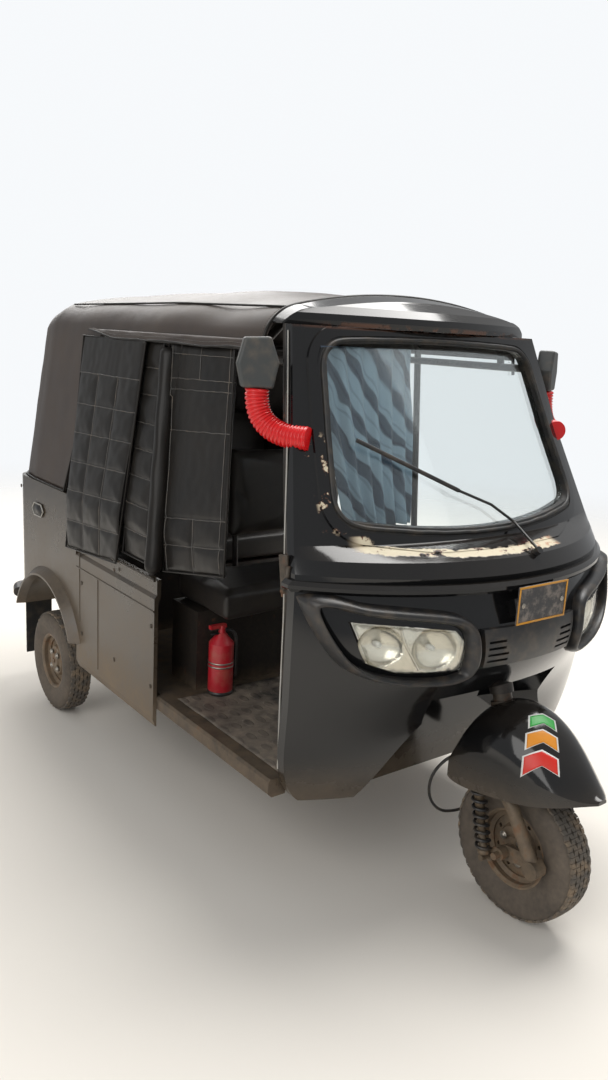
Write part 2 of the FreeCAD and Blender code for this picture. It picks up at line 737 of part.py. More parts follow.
panel_top_z = 800.0
panel_low_z = 300.0
crease_z = 736.0
quarter_y = rear_axle_y - 297.0
rear_corner = 100.0
body_bottom_z = 391.0
arch_centre_y = rear_axle_y - 12.0
arch_centre_z = 270.0
arch_radius = 300.0
tub_depth = 190.0
shelf_z = 640.0


def side_panel_right():
    w = body_half_width
    t = panel_wall
    outline = [(-w + 10, panel_low_z - 8), (-w, panel_low_z + 18), (-w, crease_z), (-w + 9, crease_z + 12),
               (-w + 9, panel_top_z), (-w + 9 + t, panel_top_z), (-w + 9 + t, crease_z),
               (-w + t, crease_z - 14), (-w + t, panel_low_z - 8)]
    return prism_y(outline, entry_front_y, quarter_y)


def quarter_plan(inset, z):
    """Points of the quarter's plan: side, start, middle and end of the corner, rear."""
    r = rear_corner - inset
    k = r * math.sin(math.pi / 4)
    corner_x, corner_y = -body_half_width + rear_corner, rear_face_y - rear_corner
    return [Vector(corner_x - r, quarter_y, z), Vector(corner_x - r, corner_y, z),
            Vector(corner_x - k, corner_y + k, z), Vector(corner_x, corner_y + r, z),
            Vector(corner_x + 10.0, corner_y + r, z)]


def rear_quarter(side):
    """Painted quarter with its rounded rear corner, wheel opening, flare and inner tub."""
    w, t = body_half_width, panel_wall
    z0, z1 = body_bottom_z, canopy_low_z - seat_gap
    a, b = quarter_plan(0.0, z0), quarter_plan(t, z0)
    wire = Part.Wire([
        Part.LineSegment(a[0], a[1]).toShape(), Part.Arc(a[1], a[2], a[3]).toShape(),
        Part.LineSegment(a[3], a[4]).toShape(), Part.LineSegment(a[4], b[4]).toShape(),
        Part.LineSegment(b[4], b[3]).toShape(), Part.Arc(b[3], b[2], b[1]).toShape(),
        Part.LineSegment(b[1], b[0]).toShape(), Part.LineSegment(b[0], a[0]).toShape(),
    ])
    skin = Part.Face(wire).extrude(Vector(0, 0, z1 - z0))
    ay, az = arch_centre_y, arch_centre_z
    tub_x = -w + tub_depth
    opening = rod((-w - 170, ay, az), (tub_x, ay, az), arch_radius)
    around = block(-arch_half_width - 50, tub_x + t, ay - arch_radius - 50, ay + arch_radius + 50,
                   body_bottom_z, panel_top_z)
    tub = rod((-w + t, ay, az), (tub_x + t, ay, az), arch_radius + t)
    tub = tub.cut(rod((-w - 60, ay, az), (tub_x, ay, az), arch_radius)).common(around)
    flare = [(-w, arch_radius), (-arch_half_width, arch_radius + 10), (-arch_half_width, arch_radius + 18),
             (-w, arch_radius + 44)]
    corners = [Vector(x, ay, az + r) for x, r in flare]
    ring = Part.Face(Part.makePolygon(corners + corners[:1])).revolve(Vector(0, ay, az), Vector(1, 0, 0), 360)
    body = skin.cut(opening).fuse(ring.common(around)).fuse(tub).removeSplitter()
    return body if side < 0 else mirrored(body)


hatch_half = body_half_width - 200.0
hatch_low, hatch_high = 470.0, 790.0
hatch_clear = 5.0
hinge_z = hatch_high + 16.0
hinge_y = rear_face_y + 9.0
pin_radius = 4.0
pin_fit = 0.06
knuckle_radius = 7.0
knuckle_half = 20.0
knuckle_x = hatch_half - 130.0
louvres = 6
louvre_pitch = 30.0
louvre_height = 9.0


def rear_panel():
    half = body_half_width - rear_corner - 10.0 - seat_gap
    plate = block(-half, half, rear_face_y - panel_wall, rear_face_y, body_bottom_z + 40.0, canopy_low_z - seat_gap)
    hole = block(-hatch_half - hatch_clear, hatch_half + hatch_clear, rear_face_y - 60.0, rear_face_y + 60.0,
                 hatch_low - hatch_clear, hatch_high + hatch_clear)
    plate = plate.cut(hole)
    inner, outer = knuckle_half + 2.0, knuckle_half + 14.0
    for x in (-knuckle_x, knuckle_x):
        plate = plate.fuse(rod((x - outer, hinge_y, hinge_z), (x + outer, hinge_y, hinge_z), pin_radius))
        for s in (-1, 1):
            a, b = sorted((x + s * inner, x + s * outer))
            plate = plate.fuse(block(a, b, rear_face_y, hinge_y + 6.0, hinge_z - 6.0, hinge_z + 8.0))
    return plate.removeSplitter()


def engine_hatch():
    panel = block(-hatch_half, hatch_half, rear_face_y - panel_wall + 2.0, rear_face_y + 2.0, hatch_low, hatch_high)
    louvre_half = hatch_half - 170.0
    for i in range(louvres):
        z = hatch_low + 70.0 + i * louvre_pitch
        panel = panel.cut(block(-louvre_half, louvre_half, rear_face_y - 20.0, rear_face_y + 20.0, z, z + louvre_height))
    for x in (-knuckle_x, knuckle_x):
        knuckle = rod((x - knuckle_half, hinge_y, hinge_z), (x + knuckle_half, hinge_y, hinge_z), knuckle_radius)
        strap = block(x - knuckle_half, x + knuckle_half, hinge_y - knuckle_radius, hinge_y - 2.0,
                      hatch_high - 30.0, hinge_z)
        panel = panel.fuse(strap).fuse(knuckle)
        panel = panel.cut(rod((x - 30.0, hinge_y, hinge_z), (x + 30.0, hinge_y, hinge_z), pin_radius + pin_fit))
    return panel.removeSplitter()


bumper_z = 430.0
bumper_radius = 21.0
bumper_wrap = 96.0


def rear_bumper():
    y = rear_end_y - bumper_radius
    corner = body_half_width - 18.0
    end = body_half_width + 13.0
    bar = tube_path([(-end, y - bumper_wrap, bumper_z), (-corner, y, bumper_z), (corner, y, bumper_z),
                     (end, y - bumper_wrap, bumper_z)], bumper_radius, 40.0)
    for x in (150.0 - body_half_width, body_half_width - 150.0):
        bar = bar.fuse(block(x - 16, x + 16, rear_face_y, y, bumper_z - 12, bumper_z + 12))
    return bar.removeSplitter()


lamp_block_width = 70.0
lamp_block_depth = 30.0


def tail_lamps():
    outer = body_half_width - rear_corner - 13.0
    return pair(block(-outer, -outer + lamp_block_width, rear_face_y, rear_face_y + lamp_block_depth, 620.0, 800.0))


flap_width = 116.0
flap_thickness = 5.0
flap_low_z = 150.0


def mud_flaps():
    outer = body_half_width - 14.0
    y = rear_axle_y + 295.0
    return pair(block(-outer, -outer + flap_width, y, y + flap_thickness, flap_low_z, body_bottom_z - seat_gap))


# Seats, inside and roof frame

seat_half = body_half_width - 150.0
seat_base_z = 676.0
cushion_thickness = 100.0
seat_overhang = 155.0
tube_radius = 10.0
tube_x = 190.0
backrest_half = 260.0
backrest_low, backrest_high = 850.0, 1200.0
# the backrest tubes: distance behind the door's rear edge, height
seat_tube = [(140.0, 640.0), (212.0, 700.0), (236.0, 1150.0)]


def seat_tubes(radius):
    return [tube_path([(x, entry_front_y + behind, z) for behind, z in seat_tube], radius, 30.0)
            for x in (-tube_x, tube_x)]


def driver_seat_base():
    y0, y1 = entry_front_y - 20.0, entry_front_y + 150.0
    box = block(-seat_half, seat_half, y0, y1, floor_z, seat_base_z)
    box = box.cut(block(-seat_half + panel_wall, seat_half - panel_wall, y0 + panel_wall, y1 - panel_wall,
                        floor_z - 1, seat_base_z - panel_wall))
    for tube in seat_tubes(tube_radius):
        box = box.fuse(tube)
    return box.removeSplitter()


def rounded_top(box, radius):
    top = box.BoundBox.ZMax
    return box.makeFillet(radius, [e for e in box.Edges if abs(e.BoundBox.ZMin - top) < 0.1])


def driver_seat():
    cushion = rounded_top(block(-seat_half, seat_half, entry_front_y - 20.0 - seat_overhang, entry_front_y + 180.0,
                                seat_base_z + seat_gap, seat_base_z + cushion_thickness), 22.0)
    for tube in seat_tubes(tube_radius + seat_gap):
        cushion = cushion.cut(tube)
    (_, _), (low_behind, low_z), (high_behind, high_z) = seat_tube
    lean = (high_behind - low_behind) / (high_z - low_z)
    rear = [entry_front_y + low_behind + (z - low_z) * lean - tube_radius - 2 * seat_gap
            for z in (backrest_low, backrest_high)]
    back = prism_x([(rear[0], backrest_low), (rear[1], backrest_high), (rear[1] - 40.0, backrest_high),
                    (rear[1] - 54.0, backrest_high - 20.0), (rear[0] - 54.0, backrest_low + 16.0),
                    (rear[0] - 42.0, backrest_low)], -backrest_half, backrest_half)
    return cushion, back


def passenger_seat_base():
    half = body_half_width - panel_wall - 4.0
    low = shelf_z - panel_wall
    front = block(-half + 12.0, half - 12.0, seat_base_y, seat_base_y + panel_wall, floor_z, low)
    top = block(-half, half, seat_base_y, rear_face_y - panel_wall - seat_gap, low, shelf_z)
    corner_x, corner_y = body_half_width - rear_corner, rear_face_y - rear_corner
    corner = block(-body_half_width, -corner_x, corner_y, rear_face_y, low - 100.0, shelf_z + 100.0)
    corner = corner.cut(rod((-corner_x, corner_y, low - 100.0), (-corner_x, corner_y, shelf_z + 100.0),
                            rear_corner - panel_wall - seat_gap))
    return front.fuse(top).cut(pair(corner)).removeSplitter()


def passenger_seat():
    half = body_half_width - 58.0
    high = shelf_z + 115.0
    cushion = rounded_top(block(-half, half, seat_base_y - 20.0, rear_face_y - 260.0, shelf_z + seat_gap, high), 25.0)
    foot, front, rear = rear_face_y - 258.0, rear_face_y - 190.0, rear_face_y - 114.0
    back = prism_x([(foot, shelf_z + seat_gap), (rear_face_y - 164.0, shelf_z + seat_gap), (rear, 1240.0),
                    (front, 1250.0)], 90.0 - body_half_width, body_half_width - 90.0)
    return cushion, back


post_radius = 12.5
hoop_inset = canopy_wall + seat_gap + post_radius + 1.5
hoop_drop = 30.0
hoop_bend = 45.0
rail_drop = 222.0
post_foot_x = body_half_width - 17.0
# columns: y, right foot x and z, left foot x and z
hoops = [
    (canopy_front_y + 40.0, 120.0 - body_half_width, overall_height - 234.0,
     body_half_width - 120.0, overall_height - 234.0),
    (entry_front_y + 60.0, -post_foot_x, panel_top_z + seat_gap, post_foot_x - 13.0, floor_z + seat_gap),
    (quarter_y + 40.0, 30.0 - body_half_width, shelf_z + seat_gap, body_half_width - 30.0, shelf_z + seat_gap),
    (rear_face_y - 100.0, 30.0 - body_half_width, shelf_z + seat_gap, body_half_width - 30.0, shelf_z + seat_gap),
]


def roof_row(y):
    """The roof's section values at a place between two of its rows."""
    for a, b in zip(roof_sections, roof_sections[1:]):
        if a[0] <= y <= b[0]:
            f = (y - a[0]) / (b[0] - a[0])
            return [u + (v - u) * f for u, v in zip(a[1:], b[1:])]
    return roof_sections[0][1:]


def hoop_side(hoop, z):
    """The x of a hoop's right post at a height."""
    y, foot_x, foot_z = hoop[:3]
    seam_x, seam_z = roof_row(y)[:2]
    top_x, top_z = -seam_x + hoop_inset, seam_z - hoop_drop
    return top_x + (foot_x - top_x) * (top_z - z) / (top_z - foot_z)


def hood_frame():
    """Hoops under the canopy, standing on the body, and a rail beside them along each side."""
    made = []
    for y, right_x, right_z, left_x, left_z in hoops:
        seam_x, seam_z, shoulder_x, shoulder_z, crown_z = roof_row(y)[:5]
        top_x, top_z, turn_x = seam_x - hoop_inset, seam_z - hoop_drop, shoulder_x - 10.0
        below = 40.0
        points = [(right_x, y, right_z - below), (-top_x, y, top_z), (-turn_x, y, shoulder_z - hoop_inset),
                  (0, y, crown_z - hoop_inset - 2.0), (turn_x, y, shoulder_z - hoop_inset), (top_x, y, top_z),
                  (left_x, y, left_z - below)]
        hoop = tube_path(points, post_radius, hoop_bend)
        hoop = hoop.cut(block(-900, 0, y - 50, y + 50, 0, right_z)).cut(block(0, 900, y - 50, y + 50, 0, left_z))
        made.append(hoop)
    rail_z = overall_height - rail_drop
    beside = 2 * post_radius + 4 * seat_gap
    post = pillar_place(screen_sections, rail_z)
    rear_y, rear_z = hoops[3][0] + post_radius, rail_z - 26.0
    points = [(post.x, post.y, rail_z),
              (hoop_side(hoops[0], rail_z) + beside, hoops[0][0], rail_z),
              (hoop_side(hoops[1], rail_z) + beside, hoops[1][0], rail_z),
              (hoop_side(hoops[2], rail_z) + beside, rear_y - 160.0, rail_z),
              (hoop_side(hoops[3], rear_z) + beside, rear_y, rear_z)]
    rail = tube_path(points, post_radius, 300.0).cut(pillar(pillar_radius + seat_gap))
    return Part.makeCompound(made + [rail, mirrored(rail)])


curtain_thickness = 9.0
flap_stand = 1.2
curtain_top_z = overall_height - 200.0


def curtain_leaf(outline, outside, row_y):
    """A hanging sheet that follows the leaning side, outside the canopy or just inside it."""
    seam_x, seam_z = roof_row(row_y)[:2]
    foot_x = roof_row(row_y)[5]
    lean = (foot_x - seam_x) / (seam_z - canopy_low_z)

    def surface(z):
        return -(seam_x + (seam_z - z) * lean)

    shift = -flap_stand if outside else canopy_wall + seat_gap + curtain_thickness
    knee, low, high = canopy_low_z + 2.0, 700.0, overall_height - 180.0
    knee_x = surface(knee) + shift
    if outside:
        knee_x = min(knee_x, -body_half_width - seat_gap)
    inner = [(surface(high) + shift, high), (knee_x, knee), (knee_x - 3.0, low)]
    profile = inner + [(x - curtain_thickness, z) for x, z in reversed(inner)]
    return prism_y(profile, outline[0][0] - 600.0, outline[0][0] + 900.0).common(prism_x(outline, -900.0, 0.0))


def rear_flap():
    """The quilted flap outside the rear window, its loose lower corner hanging askew."""
    y = quarter_y
    outline = [(y - 393.0, curtain_top_z - 24.0), (y - 386.0, curtain_top_z), (y + 122.0, curtain_top_z + 5.0),
               (y + 90.0, 1000.0), (y + 74.0, 752.0), (y - 366.0, 792.0)]
    return curtain_leaf(outline, True, y - 393.0)


def front_curtains():
    """The strip behind the door post and the curtain beside the driver."""
    y = entry_front_y
    strip = curtain_leaf([(y + 112.0, curtain_top_z), (y + 300.0, curtain_top_z), (y + 300.0, 830.0),
                          (y + 112.0, 830.0)], False, y + 112.0)
    front = curtain_leaf([(y - 236.0, curtain_top_z), (y + 26.0, curtain_top_z), (y + 26.0, 905.0),
                          (y - 416.0, 922.0)], False, y - 236.0)
    return Part.makeCompound([strip, front])


# Front fittings

def on_front(rows, x, z, out):
    """A point on the front body's surface at x and z, moved forward by out."""
    half, side_y, nose_y = section_at(rows, z)
    sag = side_y - side_run - nose_y
    radius = (half * half + sag * sag) / (2 * sag)
    return Vector(x, nose_y + radius - math.sqrt(radius * radius - x * x) - out, z)


def proud(out, core_gap):
    """A skin over the cowl, standing out from it."""
    outer = plan_loft(cowl_sections, -out, 0.0, False)
    return outer.cut(plan_loft(cowl_sections, -core_gap, 100.0, False))


belt_low_z, belt_high_z = 957.0, 985.0
belt_proud = 20.0


def belt_moulding():
    half, side_y, nose_y = section_at(cowl_sections, belt_high_z)
    rows = [(belt_low_z, 0.55), (belt_low_z + 9.0, 1.0), (belt_high_z - 10.0, 1.0), (belt_high_z, 0.4)]
    rows = [(z, half + belt_proud * share, side_y, nose_y - belt_proud * share) for z, share in rows]
    return plan_loft(rows, 0.0, 0.0, True).cut(plan_loft(cowl_sections, -seat_gap, 60.0, False))


# front view of the right lamp and its moulding, (x, z) with x measured from the middle
lamp_outline = [(-512.0, 888.0), (-400.0, 880.0), (-262.0, 864.0), (-240.0, 836.0), (-243.0, 756.0),
                (-320.0, 754.0), (-408.0, 757.0), (-478.0, 782.0)]
moulding_outer = [(-608.0, 950.0), (-560.0, 957.0), (-489.0, 940.0), (-399.0, 930.0), (-297.0, 918.0),
                  (-243.0, 904.0), (-212.0, 876.0), (-200.0, 833.0), (-200.0, 758.0), (-232.0, 722.0),
                  (-279.0, 712.0), (-346.0, 715.0), (-408.0, 722.0), (-479.0, 741.0), (-540.0, 783.0),
                  (-584.0, 860.0), (-611.0, 934.0)]
moulding_inner = [(-584.0, 921.0), (-555.0, 926.0), (-486.0, 908.0), (-400.0, 898.0), (-290.0, 884.0),
                  (-256.0, 874.0), (-236.0, 845.0), (-233.0, 757.0), (-250.0, 742.0), (-281.0, 736.0),
                  (-346.0, 737.0), (-408.0, 744.0), (-470.0, 762.0), (-524.0, 797.0), (-566.0, 862.0)]
lamp_clear = 0.6
lamp_proud = 10.0
lamp_depth = 62.0
moulding_proud = 34.0
moulding_step = 20.0
moulding_edge = 7.0
grille_proud = 14.0


def toward(outline, other, step):
    """Each point of an outline moved by a step towards its nearest point of another."""
    moved = []
    for x, z in outline:
        nx, nz = min(other, key=lambda p: math.hypot(p[0] - x, p[1] - z))
        far = max(math.hypot(nx - x, nz - z), 1.0)
        moved.append((x + (nx - x) * step / far, z + (nz - z) * step / far))
    return moved


def headlamp_mouldings():
    """A rim round each lamp recess, built up in two steps."""
    y0, y1 = front_end_y, cowl_sections[-1][2]
    ring = prism_y(moulding_outer, y0, y1).cut(prism_y(moulding_inner, y0, y1))
    top = prism_y(toward(moulding_outer, moulding_inner, moulding_edge), y0, y1)
    top = top.cut(prism_y(toward(moulding_inner, moulding_outer, moulding_edge), y0, y1))
    return pair(proud(moulding_step, seat_gap).common(ring).fuse(proud(moulding_proud, seat_gap).common(top)))


def headlamps():
    """Each lamp with its housing, passing through the cowl."""
    outer = plan_loft(cowl_sections, -lamp_proud, 0.0, False)
    core = plan_loft(cowl_sections, lamp_depth, 100.0, False, 8.0)
    return outer.cut(core).common(lamp_cut(0.0))


grille_half = 186.0
grille_low_z, grille_high_z = 757.0, 864.0
grille_slots = 4
grille_slot_height = 7.0
grille_slot_pitch = 18.0


def grille_panel():
    y0, y1 = front_end_y, front_axle_y + 200.0
    outline = [(-grille_half, grille_high_z), (grille_half, grille_high_z), (grille_half - 10.0, grille_low_z),
               (10.0 - grille_half, grille_low_z)]
    panel = proud(grille_proud, seat_gap).common(prism_y(outline, y0, y1))
    nose_y = section_at(cowl_sections, grille_high_z)[2]
    for side in (-1, 1):
        near, far = sorted((side * 90.0, side * (grille_half - 16.0)))
        for i in range(grille_slots):
            z = grille_low_z + 14.0 + i * grille_slot_pitch
            reach = 10.0 + 12.0 * (i > 1)
            a, b = (near, far - reach) if side < 0 else (near + reach, far)
            panel = panel.cut(block(a, b, nose_y - 60.0, nose_y + 2.0, z, z + grille_slot_height))
    return panel


plate_half, plate_low_z, plate_high_z = 100.0, 872.0, 976.0
plate_thickness = 4.0
plate_gap = 16.0
plate_hole_radius = 3.25
plate_hole_x = 80.0


def number_plate():
    z = (plate_low_z + plate_high_z) / 2
    y = section_at(cowl_sections, belt_high_z)[2] - belt_proud - plate_gap
    plate = block(-plate_half, plate_half, y - plate_thickness, y, plate_low_z, plate_high_z)
    stand = block(-60.0, 60.0, y, y + 80.0, z - 38.0, z + 4.0)
    body = plate.fuse(stand).cut(plan_loft(cowl_sections, -seat_gap, 100.0, False))
    for x in (-plate_hole_x, plate_hole_x):
        body = body.cut(rod((x, y - 10.0, z), (x, y + 10.0, z), plate_hole_radius))
    return body.removeSplitter()


# points of the wiper on the glass and scuttle, (x, z)
wiper_pivot = (49.0, 1037.0)
wiper_arm = [(97.0, 1096.0), (18.0, 1148.0), (-94.0, 1191.0)]
wiper_tip = (-381.0, 1325.0)
wiper_radius = 4.0
wiper_lift = 11.0


def wiper():
    pivot = on_front(screen_sections, *wiper_pivot, 0.0)
    core = plan_loft(screen_sections, -seat_gap, 100.0, True)
    boss = rod(pivot + Vector(0, 4, -2), pivot + Vector(0, -16, 12), 11.0)
    arm = [pivot + Vector(0, -12, 10)] + [on_front(screen_sections, x, z, wiper_lift) for x, z in wiper_arm]
    low = on_front(screen_sections, *wiper_arm[-1], wiper_lift)
    body = boss.fuse(tube_path(arm, wiper_radius, 14.0))
    return body.fuse(rod(low, on_front(screen_sections, *wiper_tip, wiper_lift), 6.0)).cut(core).removeSplitter()


mirror_x = body_half_width - 40.0
mirror_y = front_axle_y + 563.0
mirror_z = overall_height - 228.0
mirror_turn = 28.0
mirror_depth = 54.0
mirror_below = 64.0
boot_radius = 33.0
boot_bend = 70.0
boot_root = (body_half_width - 117.0, overall_height - 413.0)


def mirror_heads():
    x, y, z = -mirror_x, mirror_y, mirror_z
    outline = [(x - 44, z - mirror_below), (x - 58, z - 2), (x - 40, z + 66), (x + 30, z + 70), (x + 54, z + 4),
               (x + 40, z - mirror_below)]
    head = prism_y(outline, y - mirror_depth / 2, y + mirror_depth / 2)
    head = head.makeFillet(9.0, head.Edges)
    head.rotate(Vector(x, y, z), Vector(0, 0, 1), -mirror_turn)
    return pair(head)


def mirror_boots():
    """Soft covers of the mirror arms, fitted round the ridge of the screen and the door channel."""
    x, y = -mirror_x, mirror_y
    low = mirror_z - mirror_below - seat_gap
    root = on_front(screen_sections, -boot_root[0], boot_root[1], 0.0)
    corner = Vector(x, y, root.z + 6.0)
    inward = (root - corner).normalize()
    boot = tube_path([(x, y, low), corner, root + inward * 40.0], boot_radius, boot_bend)
    ridge = plan_loft(screen_sections, -ridge_height - seat_gap, 0.0, True)
    ridge = ridge.common(screen_outline(-ridge_width - seat_gap))
    boot = boot.cut(plan_loft(screen_sections, -seat_gap, 100.0, True)).cut(ridge)
    return pair(boot.cut(pillar(pillar_radius + seat_gap)))


def door_pillars():
    """The channel that edges the door opening, from the sill to the header."""
    keep = block(-900, 0, front_end_y, entry_front_y, floor_z + seat_gap, header_low_z - seat_gap)
    return pair(pillar(pillar_radius).common(keep))


pod_half = 150.0
pod_low_z, pod_high_z = 985.0, 1052.0


def dashboard():
    """Instrument pod under the scuttle, ahead of the handlebar."""
    front_y = front_axle_y + 150.0
    pod = block(-pod_half, pod_half, front_y, front_y + 66.0, pod_low_z, pod_high_z)
    return pod.common(plan_loft(screen_sections, screen_wall + seat_gap, 0.0, True, 20.0))


bottle_radius = 42.0
bottle_height = 180.0


def extinguisher():
    x, y = 210.0 - body_half_width, entry_front_y - 78.0
    shoulder, cap = floor_z + bottle_height, floor_z + bottle_height + 34.0
    body = Part.makeCylinder(bottle_radius, bottle_height, Vector(x, y, floor_z))
    cone = Part.makeCone(bottle_radius, 14.0, cap - shoulder, Vector(x, y, shoulder))
    head = Part.makeCylinder(12.0, 26.0, Vector(x, y, cap))
    lever = block(x - 46.0, x + 14.0, y - 8.0, y + 8.0, cap + 18.0, cap + 30.0)
    return body.fuse(cone).fuse(head).fuse(lever).removeSplitter()


def make_all():
    frame, seal, glass = windscreen_parts()
    seat, seat_back = driver_seat()
    bench, bench_back = passenger_seat()
    return {
        "floor_pan": floor_pan(),
        "frame_rails": frame_rails(),
        "frame_crossmembers": frame_crossmembers(),
        "steering_head": steering_head(),
        "front_cowl": front_cowl(),
        "windscreen_frame": frame,
        "windscreen_seal": seal,
        "windscreen_glass": glass,
        "roof_header": roof_header(),
        "belt_moulding": belt_moulding(),
        "headlamps": headlamps(),
        "headlamp_mouldings": headlamp_mouldings(),
        "grille_panel": grille_panel(),
        "number_plate": number_plate(),
        "wiper": wiper(),
        "mirror_heads": mirror_heads(),
        "mirror_boots": mirror_boots(),
        "door_pillars": door_pillars(),
        "side_panel_right": side_panel_right(),
        "rear_quarter_right": rear_quarter(-1),
        "rear_quarter_left": rear_quarter(1),
        "rear_panel": rear_panel(),
        "engine_hatch": engine_hatch(),
        "rear_bumper": rear_bumper(),
        "tail_lamps": tail_lamps(),
        "mud_flaps": mud_flaps(),
        "driver_seat_base": driver_seat_base(),
        "driver_seat_cushion": seat,
        "driver_seat_back": seat_back,
        "passenger_seat_base": passenger_seat_base(),
        "passenger_seat_cushion": bench,
        "passenger_seat_back": bench_back,
        "hood_frame": hood_frame(),
        "canopy": canopy(),
        "curtain_rear_flap": rear_flap(),
        "curtain_front": front_curtains(),
        "dashboard": dashboard(),
        "extinguisher": extinguisher(),
        "engine_block": engine_block(),
        "rear_suspension": rear_suspension(),
        "steering_fork": steering_fork(),
        "front_suspension": front_suspension(),
        "front_springs": front_springs(),
        "brake_hose": brake_hose(),
        "front_mudguard": front_mudguard(),
        "handlebar": handlebar(),
        "front_tyre": tyre(0.0, front_axle_y),
        "front_rim": rim(0.0, front_axle_y, -1),
        "rear_tyre_right": tyre(-rear_wheel_x, rear_axle_y),
        "rear_rim_right": rim(-rear_wheel_x, rear_axle_y, -1),
        "rear_tyre_left": tyre(rear_wheel_x, rear_axle_y),
        "rear_rim_left": rim(rear_wheel_x, rear_axle_y, 1),
    }


os.makedirs("parts", exist_ok=True)
for name, shape in make_all().items():
    shape.exportStep("parts/" + name + ".step")
    box = shape.BoundBox
    print("%-24s solids %d valid %s volume %.0f  x %.0f %.0f  y %.0f %.0f  z %.0f %.0f" % (
        name, len(shape.Solids), shape.isValid(), shape.Volume / 1000.0,
        box.XMin, box.XMax, box.YMin, box.YMax, box.ZMin, box.ZMax))
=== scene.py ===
import json
import math

